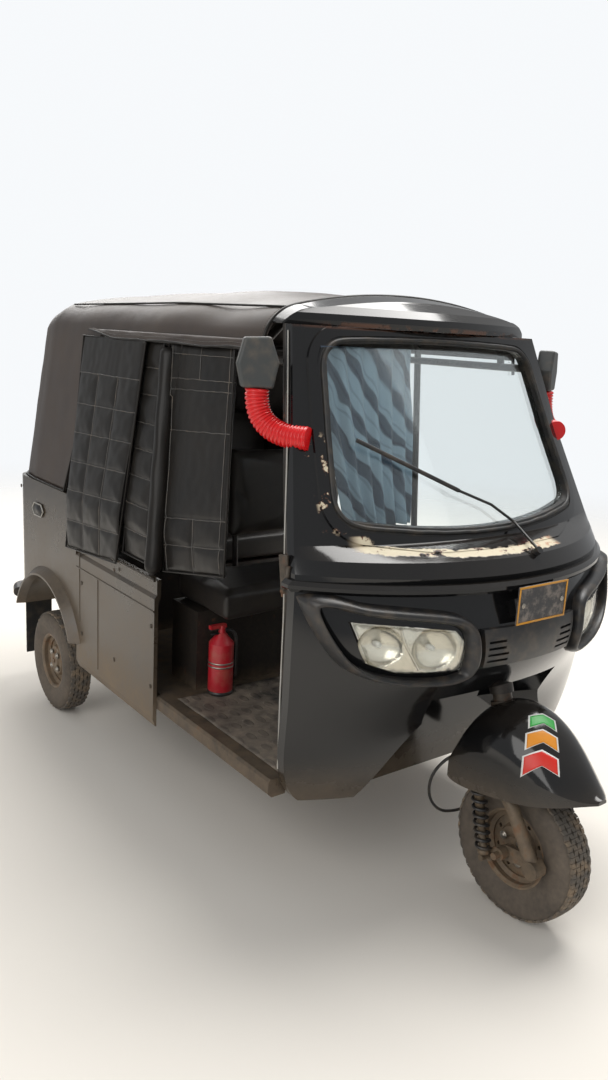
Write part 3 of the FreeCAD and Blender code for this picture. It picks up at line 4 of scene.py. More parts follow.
import bmesh
import bpy
from mathutils import Matrix, Vector, noise
from mathutils.bvhtree import BVHTree
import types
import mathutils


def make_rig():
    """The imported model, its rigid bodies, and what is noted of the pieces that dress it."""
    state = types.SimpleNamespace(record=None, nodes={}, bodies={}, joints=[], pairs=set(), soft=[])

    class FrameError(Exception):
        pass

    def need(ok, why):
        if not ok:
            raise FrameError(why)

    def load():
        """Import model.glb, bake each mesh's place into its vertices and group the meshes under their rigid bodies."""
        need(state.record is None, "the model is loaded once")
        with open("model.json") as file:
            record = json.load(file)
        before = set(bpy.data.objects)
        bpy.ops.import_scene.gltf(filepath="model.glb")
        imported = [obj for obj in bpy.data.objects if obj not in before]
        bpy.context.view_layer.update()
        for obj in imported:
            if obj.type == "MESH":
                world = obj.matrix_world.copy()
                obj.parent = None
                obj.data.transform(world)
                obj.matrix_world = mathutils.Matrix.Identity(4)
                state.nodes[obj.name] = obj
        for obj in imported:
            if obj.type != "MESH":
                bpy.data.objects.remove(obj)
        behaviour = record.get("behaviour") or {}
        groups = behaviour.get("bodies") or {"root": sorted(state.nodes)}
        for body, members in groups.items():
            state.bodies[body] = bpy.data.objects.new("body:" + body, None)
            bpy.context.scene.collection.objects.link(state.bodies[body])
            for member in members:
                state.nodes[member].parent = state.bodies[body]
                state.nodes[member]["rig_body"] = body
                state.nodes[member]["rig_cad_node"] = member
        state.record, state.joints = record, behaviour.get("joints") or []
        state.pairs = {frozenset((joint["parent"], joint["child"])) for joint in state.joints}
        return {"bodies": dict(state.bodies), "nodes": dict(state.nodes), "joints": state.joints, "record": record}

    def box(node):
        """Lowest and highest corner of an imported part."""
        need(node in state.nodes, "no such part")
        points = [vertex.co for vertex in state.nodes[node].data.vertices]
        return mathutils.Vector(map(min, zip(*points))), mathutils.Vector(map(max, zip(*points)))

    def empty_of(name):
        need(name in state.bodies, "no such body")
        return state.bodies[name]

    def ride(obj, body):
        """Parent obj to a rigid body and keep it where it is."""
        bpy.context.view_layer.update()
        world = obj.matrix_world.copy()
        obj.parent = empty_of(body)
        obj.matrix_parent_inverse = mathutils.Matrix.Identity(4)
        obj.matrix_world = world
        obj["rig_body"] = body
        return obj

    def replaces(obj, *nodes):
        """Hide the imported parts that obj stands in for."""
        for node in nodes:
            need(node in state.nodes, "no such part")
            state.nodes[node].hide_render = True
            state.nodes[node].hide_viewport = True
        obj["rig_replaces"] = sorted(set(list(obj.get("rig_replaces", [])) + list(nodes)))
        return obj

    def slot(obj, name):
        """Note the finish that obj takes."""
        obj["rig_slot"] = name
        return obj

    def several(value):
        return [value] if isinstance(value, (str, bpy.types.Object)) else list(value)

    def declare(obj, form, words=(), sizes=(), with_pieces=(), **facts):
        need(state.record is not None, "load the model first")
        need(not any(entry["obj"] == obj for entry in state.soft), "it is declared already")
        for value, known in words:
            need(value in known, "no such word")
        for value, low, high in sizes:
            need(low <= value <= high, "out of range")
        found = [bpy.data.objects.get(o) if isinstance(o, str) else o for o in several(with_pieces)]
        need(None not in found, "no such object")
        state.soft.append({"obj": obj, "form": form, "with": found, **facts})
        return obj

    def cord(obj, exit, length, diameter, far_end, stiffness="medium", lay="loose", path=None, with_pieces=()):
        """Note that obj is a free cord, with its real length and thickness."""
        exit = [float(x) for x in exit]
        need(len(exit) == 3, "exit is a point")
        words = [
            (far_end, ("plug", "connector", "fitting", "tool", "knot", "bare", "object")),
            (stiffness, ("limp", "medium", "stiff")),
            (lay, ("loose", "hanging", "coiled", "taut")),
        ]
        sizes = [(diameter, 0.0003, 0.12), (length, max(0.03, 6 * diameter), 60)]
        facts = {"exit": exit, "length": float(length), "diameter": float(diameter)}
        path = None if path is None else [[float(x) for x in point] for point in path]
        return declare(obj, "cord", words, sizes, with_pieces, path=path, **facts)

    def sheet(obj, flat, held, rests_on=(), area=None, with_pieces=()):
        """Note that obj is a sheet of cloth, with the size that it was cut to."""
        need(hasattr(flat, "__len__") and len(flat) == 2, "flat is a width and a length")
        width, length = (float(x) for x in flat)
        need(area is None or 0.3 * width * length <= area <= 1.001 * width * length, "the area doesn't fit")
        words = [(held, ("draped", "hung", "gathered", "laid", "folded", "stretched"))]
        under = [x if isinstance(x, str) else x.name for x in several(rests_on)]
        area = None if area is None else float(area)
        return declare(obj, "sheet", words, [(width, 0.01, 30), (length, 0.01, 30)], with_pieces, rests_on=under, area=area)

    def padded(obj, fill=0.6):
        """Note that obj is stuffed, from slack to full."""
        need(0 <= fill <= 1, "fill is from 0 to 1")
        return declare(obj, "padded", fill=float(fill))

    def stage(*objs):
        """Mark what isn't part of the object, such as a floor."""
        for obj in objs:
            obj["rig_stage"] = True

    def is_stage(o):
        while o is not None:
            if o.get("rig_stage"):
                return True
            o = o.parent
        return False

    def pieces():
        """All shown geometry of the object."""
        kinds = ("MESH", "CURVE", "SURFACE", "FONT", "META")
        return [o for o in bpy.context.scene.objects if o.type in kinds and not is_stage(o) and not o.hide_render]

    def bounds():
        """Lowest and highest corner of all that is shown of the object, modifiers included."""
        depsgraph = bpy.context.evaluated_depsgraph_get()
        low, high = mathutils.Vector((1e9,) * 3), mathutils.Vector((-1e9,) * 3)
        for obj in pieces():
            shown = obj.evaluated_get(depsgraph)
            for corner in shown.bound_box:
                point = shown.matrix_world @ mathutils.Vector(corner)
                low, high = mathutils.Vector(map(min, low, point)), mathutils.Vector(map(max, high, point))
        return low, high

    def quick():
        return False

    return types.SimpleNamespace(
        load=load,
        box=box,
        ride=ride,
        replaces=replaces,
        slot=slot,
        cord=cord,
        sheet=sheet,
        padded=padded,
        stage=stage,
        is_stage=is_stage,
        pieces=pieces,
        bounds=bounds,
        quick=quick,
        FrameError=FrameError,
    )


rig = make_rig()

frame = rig.load()        # bodies, nodes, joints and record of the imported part
cadBox = [list(corner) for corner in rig.bounds()]
nodes = frame["nodes"]
print("frame loaded,", len(nodes), "nodes")


# Shader maths: a wrapped socket whose + - and * add Math nodes
class Wire:
    def __init__(self, paint, socket):
        self.paint, self.socket = paint, socket

    def math(self, operation, *values):
        return self.paint.add("Math", {"operation": operation}, dict(enumerate(values)))

    def __add__(self, other):
        return self.math("ADD", self, other)

    def __radd__(self, other):
        return self.math("ADD", other, self)

    def __sub__(self, other):
        return self.math("SUBTRACT", self, other)

    def __rsub__(self, other):
        return self.math("SUBTRACT", other, self)

    def __mul__(self, other):
        return self.math("MULTIPLY", self, other)

    def __rmul__(self, other):
        return self.math("MULTIPLY", other, self)

    def sine(self):
        return self.math("SINE", self)

    def absolute(self):
        return self.math("ABSOLUTE", self)

    def most(self, other):
        return self.math("MAXIMUM", self, other)

    def least(self, other):
        return self.math("MINIMUM", self, other)


# A material under construction
class Paint:
    def __init__(self, name, **constants):
        self.material = bpy.data.materials.new(name)
        self.material.use_nodes = True
        self.tree = self.material.node_tree
        self.shader = self.tree.nodes["Principled BSDF"]
        self.output = self.tree.nodes["Material Output"]
        self.place = self.add("TexCoord", {}, {}, "Object")
        for socket, value in constants.items():
            self.shader.inputs[socket.replace("_", " ")].default_value = value

    def add(self, kind, settings, inputs, out=0):
        node = self.tree.nodes.new("ShaderNode" + kind)
        for key, value in settings.items():
            setattr(node, key, value)
        for key, value in inputs.items():
            self.join(node.inputs[key], value)
        return Wire(self, node.outputs[out])

    def join(self, socket, value):
        if isinstance(value, Wire):
            self.tree.links.new(value.socket, socket)
        else:
            socket.default_value = value

    def feed(self, **inputs):
        for key, value in inputs.items():
            self.join(self.shader.inputs[key.replace("_", " ")], value)
        return self.material

    def noise(self, scale, detail=3.0, roughness=0.5):
        inputs = {"Vector": self.place, "Scale": scale, "Detail": detail, "Roughness": roughness}
        return self.add("TexNoise", {}, inputs)

    def cells(self, scale):
        return self.add("TexVoronoi", {}, {"Vector": self.place, "Scale": scale})

    def axes(self, where=None):
        parts = self.add("SeparateXYZ", {}, {0: where or self.place})
        outs = parts.socket.node.outputs
        return Wire(self, outs[0]), Wire(self, outs[1]), Wire(self, outs[2])

    def step(self, value, low, high):      # 0 below low, 1 above high, smooth between
        return self.add("MapRange", {"interpolation_type": "SMOOTHSTEP"}, {0: value, 1: low, 2: high})

    def band(self, value, low, high, soft):      # 1 between low and high, with soft edges
        return self.step(value, low - soft, low + soft) * self.step(value, high + soft, high - soft)

    def mix(self, share, first, second):
        return self.add("Mix", {"data_type": "RGBA"}, {0: share, 6: rgba(first), 7: rgba(second)}, 2)

    def bump(self, height, strength, distance):
        return self.add("Bump", {}, {"Height": height, "Strength": strength, "Distance": distance})


def rgba(color):
    return color if isinstance(color, Wire) or len(color) == 4 else (*color, 1.0)


# A geometry node tree under construction, with named inputs for its sizes
class Growth:
    def __init__(self, name, **sizes):
        self.tree = bpy.data.node_groups.new(name, "GeometryNodeTree")
        face = self.tree.interface
        face.new_socket("Geometry", in_out="INPUT", socket_type="NodeSocketGeometry")
        face.new_socket("Geometry", in_out="OUTPUT", socket_type="NodeSocketGeometry")
        self.keys = {}
        for size, kind in {**sizes, "finish": "Material"}.items():
            socket = face.new_socket(size, in_out="INPUT", socket_type="NodeSocket" + kind)
            self.keys[size] = socket.identifier
        self.source = self.tree.nodes.new("NodeGroupInput")
        self.sink = self.tree.nodes.new("NodeGroupOutput")
        self.start = self.source.outputs["Geometry"]

    def size(self, name):
        return self.source.outputs[name]

    def add(self, kind, settings, inputs, out=0):
        node = self.tree.nodes.new(kind)
        for key, value in settings.items():
            setattr(node, key, value)
        for key, value in inputs.items():
            if isinstance(value, bpy.types.NodeSocket):
                self.tree.links.new(value, node.inputs[key])
            else:
                node.inputs[key].default_value = value
        return node.outputs[out]

    def maths(self, operation, first, second=0.0):
        return self.add("ShaderNodeMath", {"operation": operation}, {0: first, 1: second})

    def end(self, geometry):      # every tree ends in real, smooth, painted faces
        real = self.add("GeometryNodeRealizeInstances", {}, {0: geometry})
        smooth = self.add("GeometryNodeSetShadeSmooth", {}, {0: real})
        done = self.add("GeometryNodeSetMaterial", {}, {"Geometry": smooth, "Material": self.size("finish")})
        self.tree.links.new(done, self.sink.inputs[0])
        return self


def linked(name, data):
    obj = bpy.data.objects.new(name, data)
    bpy.context.scene.collection.objects.link(obj)
    return obj


def asMesh(holder):      # the finished mesh of a curve or of an object with modifiers, which goes away
    bpy.context.view_layer.update()
    mesh = bpy.data.meshes.new_from_object(holder.evaluated_get(bpy.context.evaluated_depsgraph_get()))
    bpy.data.objects.remove(holder)
    return mesh


def settled(name, mesh, paint, body="body", slot="own", replaces=()):      # own: the paint's slot, if it is one
    mesh.validate()      # drops a doubled face
    if slot == "own":
        slot = paint if paint in slotOf.values() else None
    piece = linked(name, mesh)
    mesh.materials.clear()
    mesh.materials.append(paints[paint])
    mesh.shade_smooth()
    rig.ride(piece, body)
    if slot:
        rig.slot(piece, slot)
    if replaces:
        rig.replaces(piece, *replaces)
    return piece


def grown(growth, mesh, paint, **sizes):      # a tree run on a mesh, as a plain mesh
    carrier = linked("carrier", mesh)
    modifier = carrier.modifiers.new("growth", "NODES")
    modifier.node_group = growth.tree
    for size, value in {**sizes, "finish": paints[paint]}.items():
        modifier[growth.keys[size]] = value
    return asMesh(carrier)


def woven(points, faces, edges=()):
    mesh = bpy.data.meshes.new("woven")
    mesh.from_pydata([tuple(p) for p in points], list(edges), faces)
    mesh.update()
    return mesh


def thread(points):      # a mesh of one open line
    return woven(points, [], [(i, i + 1) for i in range(len(points) - 1)])


def gridOf(rows, closed=False):      # points and faces of rows of points
    count = len(rows[0])
    faces = []
    for i in range(len(rows) - 1):
        for j in range(count if closed else count - 1):
            a, b = i * count + j, i * count + (j + 1) % count
            faces.append((a, b, b + count, a + count))
    return [p for row in rows for p in row], faces


def gathered(*meshes):      # several meshes as one
    bm = bmesh.new()
    for mesh in meshes:
        bm.from_mesh(mesh)
        bpy.data.meshes.remove(mesh)
    mesh = bpy.data.meshes.new("gathered")
    bm.to_mesh(mesh)
    bm.free()
    return mesh


def tidied(mesh, reach=0.00002):      # doubles merged and faces turned outwards
    bm = bmesh.new()
    bm.from_mesh(mesh)
    bmesh.ops.remove_doubles(bm, verts=bm.verts, dist=reach)
    bmesh.ops.recalc_face_normals(bm, faces=bm.faces)
    bm.to_mesh(mesh)
    bm.free()
    return mesh


def thickened(mesh, thick, offset=-1.0):
    holder = linked("holder", mesh)
    shell = holder.modifiers.new("thickness", "SOLIDIFY")
    shell.thickness, shell.offset = thick, offset
    return asMesh(holder)


def pipe(points, radius, kind="NURBS", cyclic=False, sides=3):
    curve = bpy.data.curves.new("pipe", "CURVE")
    curve.dimensions = "3D"
    curve.bevel_depth, curve.bevel_resolution, curve.use_fill_caps = radius, sides, not cyclic
    spline = curve.splines.new(kind)
    spline.points.add(len(points) - 1)
    for spot, place in zip(spline.points, points):
        spot.co = (*place, 1.0)
    spline.use_cyclic_u = cyclic
    if kind == "NURBS":
        spline.order_u = 3
        spline.use_endpoint_u = not cyclic
        spline.resolution_u = 6
    return asMesh(linked("pipe", curve))


def mirroredMesh(mesh):
    bm = bmesh.new()
    bm.from_mesh(mesh)
    bmesh.ops.scale(bm, vec=(-1, 1, 1), verts=bm.verts)
    bmesh.ops.reverse_faces(bm, faces=bm.faces)
    over = bpy.data.meshes.new("mirrored")
    bm.to_mesh(over)
    bm.free()
    return over


def both(mesh):      # the right side's mesh with its mirror image
    return gathered(mirroredMesh(mesh), mesh)


def boxMesh(low, high, bevel=0.0):
    bm = bmesh.new()
    middle = [(a + b) / 2 for a, b in zip(low, high)]
    size = [b - a for a, b in zip(low, high)]
    bmesh.ops.create_cube(bm, size=1.0, matrix=Matrix.Translation(middle) @ Matrix.Diagonal((*size, 1)))
    if bevel:
        bmesh.ops.bevel(bm, geom=bm.edges, offset=bevel, segments=2, affect="EDGES", profile=0.5)
    mesh = bpy.data.meshes.new("box")
    bm.to_mesh(mesh)
    bm.free()
    return mesh


def turnedMesh(profile, centre, axis="X", segments=64):      # a closed (along, radius) outline turned about an axis
    rows = []
    for i in range(segments):
        angle = 2 * math.pi * i / segments
        c, s = math.cos(angle), math.sin(angle)
        spots = {"X": lambda a, r: (a, r * c, r * s), "Y": lambda a, r: (r * s, a, r * c),
                 "Z": lambda a, r: (r * c, r * s, a)}[axis]
        rows.append([Vector(centre) + Vector(spots(a, r)) for a, r in profile])
    points, faces = gridOf(rows + rows[:1], closed=True)
    return tidied(woven(points, faces))


def copyOf(node, keep=None):      # the merged faces of a node that pass a test
    bm = bmesh.new()
    bm.from_mesh(nodes[node].data)
    bmesh.ops.remove_doubles(bm, verts=bm.verts, dist=0.00002)
    if keep:
        bmesh.ops.delete(bm, geom=[f for f in bm.faces if not keep(f)], context="FACES")
    mesh = bpy.data.meshes.new("copy")
    bm.to_mesh(mesh)
    bm.free()
    return mesh


def treeOf(node):      # a node's faces, for rays
    mesh = nodes[node].data
    return BVHTree.FromPolygons([v.co.copy() for v in mesh.vertices], [list(p.vertices) for p in mesh.polygons])


def frontOf(tree, x, z):      # the place on a surface seen from ahead
    spot = tree.ray_cast((x, -2.0, z), (0, 1, 0))[0]
    return tree.find_nearest((x, -1.1, z))[0] if spot is None else spot


def soft(value, low, high):
    share = min(max((value - low) / (high - low), 0.0), 1.0)
    return share * share * (3 - 2 * share)


def mixed(a, b, share):
    return a + (b - a) * share


def waved(size, x, y, z):      # a smooth random height at a place
    return size * noise.noise(Vector((x, y, z)))


# Trees for what repeats
def stitchTree():
    g = Growth("stitches", pitch="Float", long="Float", thick="Float")
    line = g.add("GeometryNodeMeshToCurve", {}, {0: g.start})
    spots = g.add("GeometryNodeResampleCurve", {"mode": "LENGTH"}, {"Curve": line, "Length": g.size("pitch")})
    stitch = g.add("GeometryNodeMeshCylinder", {}, {"Vertices": 6, "Radius": g.size("thick"), "Depth": g.size("long")})
    along = g.add("GeometryNodeInputTangent", {}, {})
    turn = g.add("FunctionNodeAlignRotationToVector", {"axis": "Z"}, {"Vector": along})
    return g.end(g.add("GeometryNodeInstanceOnPoints", {}, {"Points": spots, "Instance": stitch, "Rotation": turn}))


def fastenerTree():
    g = Growth("fasteners", sides="Int", radius="Float", height="Float")
    head = g.add("GeometryNodeMeshCylinder", {}, {"Vertices": g.size("sides"), "Radius": g.size("radius"),
                                                  "Depth": g.size("height")})
    washerRadius = g.maths("MULTIPLY", g.size("radius"), 1.45)
    washerHeight = g.maths("MULTIPLY", g.size("height"), 0.3)
    washer = g.add("GeometryNodeMeshCylinder", {}, {"Vertices": 20, "Radius": washerRadius, "Depth": washerHeight})
    joined = g.tree.nodes.new("GeometryNodeJoinGeometry")
    g.tree.links.new(head, joined.inputs[0])
    g.tree.links.new(washer, joined.inputs[0])
    axis = g.add("GeometryNodeInputNamedAttribute", {"data_type": "FLOAT_VECTOR"}, {"Name": "axis"})
    turn = g.add("FunctionNodeAlignRotationToVector", {"axis": "Z"}, {"Vector": axis})
    return g.end(g.add("GeometryNodeInstanceOnPoints", {}, {"Points": g.start, "Instance": joined.outputs[0],
                                                            "Rotation": turn}))


def bellowsTree():
    g = Growth("bellows", radius="Float", rib="Float", pitch="Float")
    line = g.add("GeometryNodeMeshToCurve", {}, {0: g.start})
    step = g.maths("DIVIDE", g.size("pitch"), 8.0)
    spots = g.add("GeometryNodeResampleCurve", {"mode": "LENGTH"}, {"Curve": line, "Length": step})
    ring = g.add("GeometryNodeCurvePrimitiveCircle", {}, {"Resolution": 40, "Radius": g.size("radius")})
    along = g.add("GeometryNodeSplineParameter", {}, {}, 1)
    turns = g.maths("DIVIDE", along, g.size("pitch"))
    wave = g.maths("POWER", g.maths("ABSOLUTE", g.maths("SINE", g.maths("MULTIPLY", turns, math.pi))), 0.7)
    depth = g.maths("MULTIPLY", g.size("rib"), g.maths("SUBTRACT", 1.0, wave))
    scale = g.maths("SUBTRACT", 1.0, depth)
    return g.end(g.add("GeometryNodeCurveToMesh", {}, {"Curve": spots, "Profile Curve": ring, "Scale": scale,
                                                       "Fill Caps": True}))


def coilTree():
    g = Growth("coil", turns="Float", radius="Float", wire="Float", height="Float")
    sizes = {"Resolution": 28, "Rotations": g.size("turns"), "Height": g.size("height")}
    radii = {"Start Radius": g.size("radius"), "End Radius": g.size("radius")}
    line = g.add("GeometryNodeCurveSpiral", {}, {**sizes, **radii})
    ring = g.add("GeometryNodeCurvePrimitiveCircle", {}, {"Resolution": 12, "Radius": g.size("wire")})
    return g.end(g.add("GeometryNodeCurveToMesh", {}, {"Curve": line, "Profile Curve": ring, "Fill Caps": True}))


def ringTree():      # one pitch of a wheel's tread repeated about its axle
    g = Growth("ring", count="Int", place="Vector")
    spots = g.add("GeometryNodeMeshLine", {"mode": "OFFSET"}, {"Count": g.size("count"), "Offset": (0.0, 0.0, 0.0)})
    number = g.add("GeometryNodeInputIndex", {}, {})
    share = g.maths("DIVIDE", number, g.size("count"))
    angle = g.maths("MULTIPLY", share, 2 * math.pi)
    turn = g.add("ShaderNodeCombineXYZ", {}, {0: angle})
    asTurn = g.add("FunctionNodeEulerToRotation", {}, {0: turn})
    ring = g.add("GeometryNodeInstanceOnPoints", {}, {"Points": spots, "Instance": g.start, "Rotation": asTurn})
    real = g.add("GeometryNodeRealizeInstances", {}, {0: ring})
    return g.end(g.add("GeometryNodeTransform", {}, {"Geometry": real, "Translation": g.size("place")}))


trees = {"stitch": stitchTree(), "fastener": fastenerTree(), "bellows": bellowsTree(), "coil": coilTree(),
         "ring": ringTree()}


def stitched(points, paint):
    return grown(trees["stitch"], thread(points), paint, pitch=0.008, long=0.0055, thick=0.0007)


def fasteners(places, paint, radius, height):      # places: (point, axis)
    mesh = woven([p for p, axis in places], [])
    axes = mesh.attributes.new("axis", "FLOAT_VECTOR", "POINT")
    for i, (p, axis) in enumerate(places):
        axes.data[i].vector = axis
    return grown(trees["fastener"], mesh, paint, sides=6, radius=radius, height=height)


# Finishes
dust = (0.30, 0.215, 0.135)


def plain(name, color, roughness, dusty=0.35, **constants):
    p = Paint(name, **constants)
    spots = p.noise(30.0, 4.0)
    return p.feed(Base_Color=p.mix(p.step(spots, 0.4, 0.8) * dusty, color, dust),
                  Roughness=roughness + spots * 0.15, Normal=p.bump(spots, 0.1, 0.001))


def glossBlack():      # deep black, dusty behind the door, with putty and rust under the screen
    p = Paint("glossBlack", Coat_Weight=0.1)
    x, y, z = p.axes()
    fine, wide, edge = p.noise(45.0, 5.0, 0.6), p.noise(4.0, 4.0, 0.55), p.noise(17.0, 6.0, 0.66)
    up = p.axes(p.add("NewGeometry", {}, {}, 1))[2]
    rear = p.step(y, -0.10, 0.0) * (p.step(z, 1.0, 0.5) * 0.26 + 0.20)
    lying = rear + p.step(z, 0.50, 0.34) * 0.36 + p.step(up, 0.35, 0.95) * 0.05
    amount = (lying * (wide * 1.3 + fine * 0.8 - 0.15)).most(0.0).least(0.9)
    color = p.mix(amount, (0.006, 0.006, 0.0065), (0.19, 0.14, 0.09))
    along = y + 0.945 - x * x * 0.72 + (edge - 0.5) * 0.05      # from the line of chips on the ledge
    ledge = p.band(along, -0.026, 0.012, 0.003) * p.band(z, 1.034, 1.088, 0.003) * p.band(x, -0.45, 0.20, 0.02)
    pillar = p.band(z, 1.10, 1.33, 0.02) * p.band(x, -0.520, -0.470, 0.006) * p.step(y, -0.62, -0.66)
    lip = p.band(z, 1.612, 1.629, 0.004) * p.step(y, -0.52, -0.56)
    old = ledge * p.step(edge, 0.40, 0.42) + pillar * p.step(edge, 0.585, 0.60)
    rim = ledge * p.step(edge, 0.37, 0.40) + pillar * p.step(edge, 0.565, 0.585)
    rim = rim + lip * p.step(edge, 0.42, 0.56) * 0.6
    color = p.mix(rim.least(1.0), color, (0.14, 0.05, 0.02))
    blush = p.step(fine + x * 0.35, 0.56, 0.68) * 0.75      # redder towards the left
    color = p.mix(old.least(1.0), color, p.mix(blush, (0.62, 0.55, 0.40), (0.42, 0.17, 0.08)))
    worn = (amount * 0.7 + rim.least(1.0) * 0.5).least(0.75)
    return p.feed(Base_Color=color, Roughness=worn + 0.09 + fine * 0.03,
                  Normal=p.bump(old * 1.5 + fine * 0.12 + wide * 0.5, 0.25, 0.0015))


def vinyl(name, color, roughness, dusty, grain=0.25, shine=0.36):
    p = Paint(name, Sheen_Weight=0.02, Sheen_Roughness=0.4, Specular_IOR_Level=shine)
    wide, fine, leather = p.noise(5.0, 4.0), p.noise(38.0, 4.0), p.cells(420.0)
    cover = (wide * 0.9 + fine * 0.5 - 0.25).most(0.0) * dusty
    return p.feed(Base_Color=p.mix(cover, color, dust), Roughness=roughness + cover * 0.35 + fine * 0.08,
                  Normal=p.bump(leather * 0.5 + wide * 1.2, grain, 0.0012))


def tyreRubber():
    p = Paint("tyreRubber")
    fine, wide = p.noise(70.0, 4.0), p.noise(9.0, 3.0)
    cover = (wide * 0.9 + fine * 0.6 - 0.12).most(0.0).least(1.0)
    return p.feed(Base_Color=p.mix(cover, (0.022, 0.020, 0.019), (0.150, 0.120, 0.092)),
                  Roughness=0.78 + fine * 0.1, Normal=p.bump(fine, 0.2, 0.0012))


def bootRed():
    p = Paint("bootRed", Coat_Weight=0.2)
    fine = p.noise(60.0, 3.0)
    return p.feed(Base_Color=p.mix(fine * 0.25, (0.66, 0.006, 0.008), (0.45, 0.01, 0.01)),
                  Roughness=0.26 + fine * 0.1)


def rustySteel(name, color, share, dusty):
    p = Paint(name)
    edge, fine = p.noise(22.0, 6.0, 0.65), p.noise(80.0, 4.0)
    rust = p.step(edge, 0.62 - share * 0.3, 0.74 - share * 0.2)
    mud = p.step(p.axes()[2], 0.46, 0.385) * (edge * 1.6 - 0.35).most(0.0).least(0.8)      # towards the ground
    dirty = p.mix((fine * dusty + mud * 0.6).least(1.0), color, dust)
    return p.feed(Base_Color=p.mix(rust * 0.6, dirty, (0.14, 0.055, 0.022)),
                  Roughness=0.42 + rust * 0.25 + mud * 0.25 + fine * 0.08, Metallic=0.25 - rust * 0.25,
                  Normal=p.bump(rust * 0.6 + fine * 0.4, 0.3, 0.001))


def clearGlass(name, tint, roughness):
    p = Paint(name)
    glass = p.add("BsdfGlass", {}, {"Color": rgba(tint), "Roughness": roughness, "IOR": 1.03})
    gloss = p.add("BsdfGlossy", {}, {"Roughness": 0.03})
    film = p.add("LayerWeight", {}, {"Blend": 0.35}, 0)
    skin = p.add("MixShader", {}, {0: film * 0.28 + 0.03, 1: glass, 2: gloss})
    p.tree.links.new(skin.socket, p.output.inputs[0])
    return p.material


def stripedCloth():      # pale grey-blue with dark slanting bands
    p = Paint("stripedCloth", Sheen_Weight=0.2)
    x, _, z = p.axes()
    along = x * 72.0 + z * 50.0 + p.noise(6.0, 2.0) * 7.0
    dark = p.step(along.sine(), 0.15, 0.65) * 0.9 + p.step((along * 2.3 + 1.0).sine(), 0.75, 0.95) * 0.3
    weave = p.noise(420.0, 2.0)
    return p.feed(Base_Color=p.mix(dark.least(1.0), (0.23, 0.31, 0.37), (0.02, 0.032, 0.055)), Roughness=0.85,
                  Normal=p.bump(weave, 0.3, 0.0006))


def floorMat():      # ribs and short bars stand out of the trodden dust
    p = Paint("floorMat")
    x, y, _ = p.axes()
    ribs = ((x * 70.0).sine() * (y * 38.0).sine()).absolute()
    bars = p.step(ribs, 0.55, 0.70)
    spots, wide = p.noise(22.0, 5.0, 0.65), p.noise(5.0, 3.0)
    trodden = p.step(x, -0.22, -0.56) * 0.30 - 0.90      # dustier towards the sill
    cover = (1.0 - bars * 0.25) * (spots * 1.4 + wide * 0.9 + trodden).most(0.0).least(1.0)
    return p.feed(Base_Color=p.mix(cover, (0.018, 0.017, 0.017), (0.30, 0.245, 0.19)), Roughness=0.62,
                  Normal=p.bump(bars + spots * 0.8, 0.6, 0.003))


def wornPlate():
    p = Paint("wornPlate")
    edge, fine = p.noise(28.0, 5.0, 0.7), p.noise(120.0, 4.0)
    return p.feed(Base_Color=p.mix(p.step(edge, 0.42, 0.68), (0.035, 0.035, 0.038), (0.20, 0.17, 0.15)),
                  Roughness=0.45 + fine * 0.2, Normal=p.bump(fine, 0.3, 0.0008))


paints = {
    "black_paint": glossBlack(),
    "black_plastic": plain("blackPlastic", (0.018, 0.018, 0.019), 0.30, 0.16),
    "seal_rubber": plain("sealRubber", (0.016, 0.016, 0.016), 0.45, 0.15),
    "tyre_rubber": tyreRubber(),
    "screen_glass": clearGlass("screenGlass", (0.93, 0.96, 0.96), 0.0),
    "lamp_glass": clearGlass("lampGlass", (0.95, 0.95, 0.93), 0.02),
    "lamp_red": plain("lampRed", (0.40, 0.01, 0.01), 0.12, 0.2),
    "boot_red": bootRed(),
    "extinguisher_red": plain("extinguisherRed", (0.40, 0.012, 0.022), 0.25, 0.3),
    "plate": wornPlate(),
    "frame_steel": rustySteel("frameSteel", (0.012, 0.012, 0.013), 0.1, 0.12),
    "running_gear": rustySteel("runningGear", (0.026, 0.024, 0.022), 0.25, 0.28),
    "engine_alloy": plain("engineAlloy", (0.30, 0.28, 0.25), 0.5, 0.5, Metallic=0.7),
    "rim_steel": rustySteel("rimSteel", (0.055, 0.048, 0.042), 0.3, 0.45),
    "vinyl_seat": vinyl("seatVinyl", (0.012, 0.012, 0.013), 0.36, 0.10),
    "vinyl_canopy": vinyl("canopyVinyl", (0.036, 0.0285, 0.027), 0.38, 0.16),
    "vinyl_curtain": vinyl("curtainVinyl", (0.007, 0.0072, 0.0074), 0.30, 0.05, 0.25, 0.24),
    # painted highlight: a lighter grey on the seam ridges and stitches, in place of the light that their folds catch
    "seam": plain("polishedSeam", (0.075, 0.072, 0.068), 0.30, 0.3),
    "tread": plain("treadRubber", (0.10, 0.088, 0.075), 0.8, 0.75),
    "head_grey": plain("greyPlastic", (0.050, 0.054, 0.054), 0.42, 0.2),
    "ochre": plain("ochre", (0.56, 0.25, 0.015), 0.45, 0.3),
    "silver": plain("silver", (0.70, 0.67, 0.60), 0.16, 0.10, Metallic=1.0),
    "mirror": plain("mirror", (0.80, 0.82, 0.84), 0.03, 0.0, Metallic=1.0),
    "zinc": plain("zinc", (0.40, 0.38, 0.34), 0.35, 0.4, Metallic=0.9),
    "worn": plain("wornEdge", (0.38, 0.37, 0.34), 0.40, 0.3),
    "cloth": stripedCloth(),
    "mat": floorMat(),
    "white": plain("whitePaint", (0.74, 0.74, 0.72), 0.35, 0.15),
    "red": plain("redPaint", (0.62, 0.02, 0.01), 0.3, 0.1),
    "orange": plain("orangePaint", (0.72, 0.26, 0.01), 0.3, 0.1),
    "green": plain("greenPaint", (0.02, 0.36, 0.05), 0.3, 0.1),
}
slotOf = {s["node"]: s["material_slot"] for s in frame["record"]["subparts"]}
for name, node in nodes.items():
    node.data.materials.clear()
    node.data.materials.append(paints["head_grey" if name == "mirror_heads" else slotOf[name]])
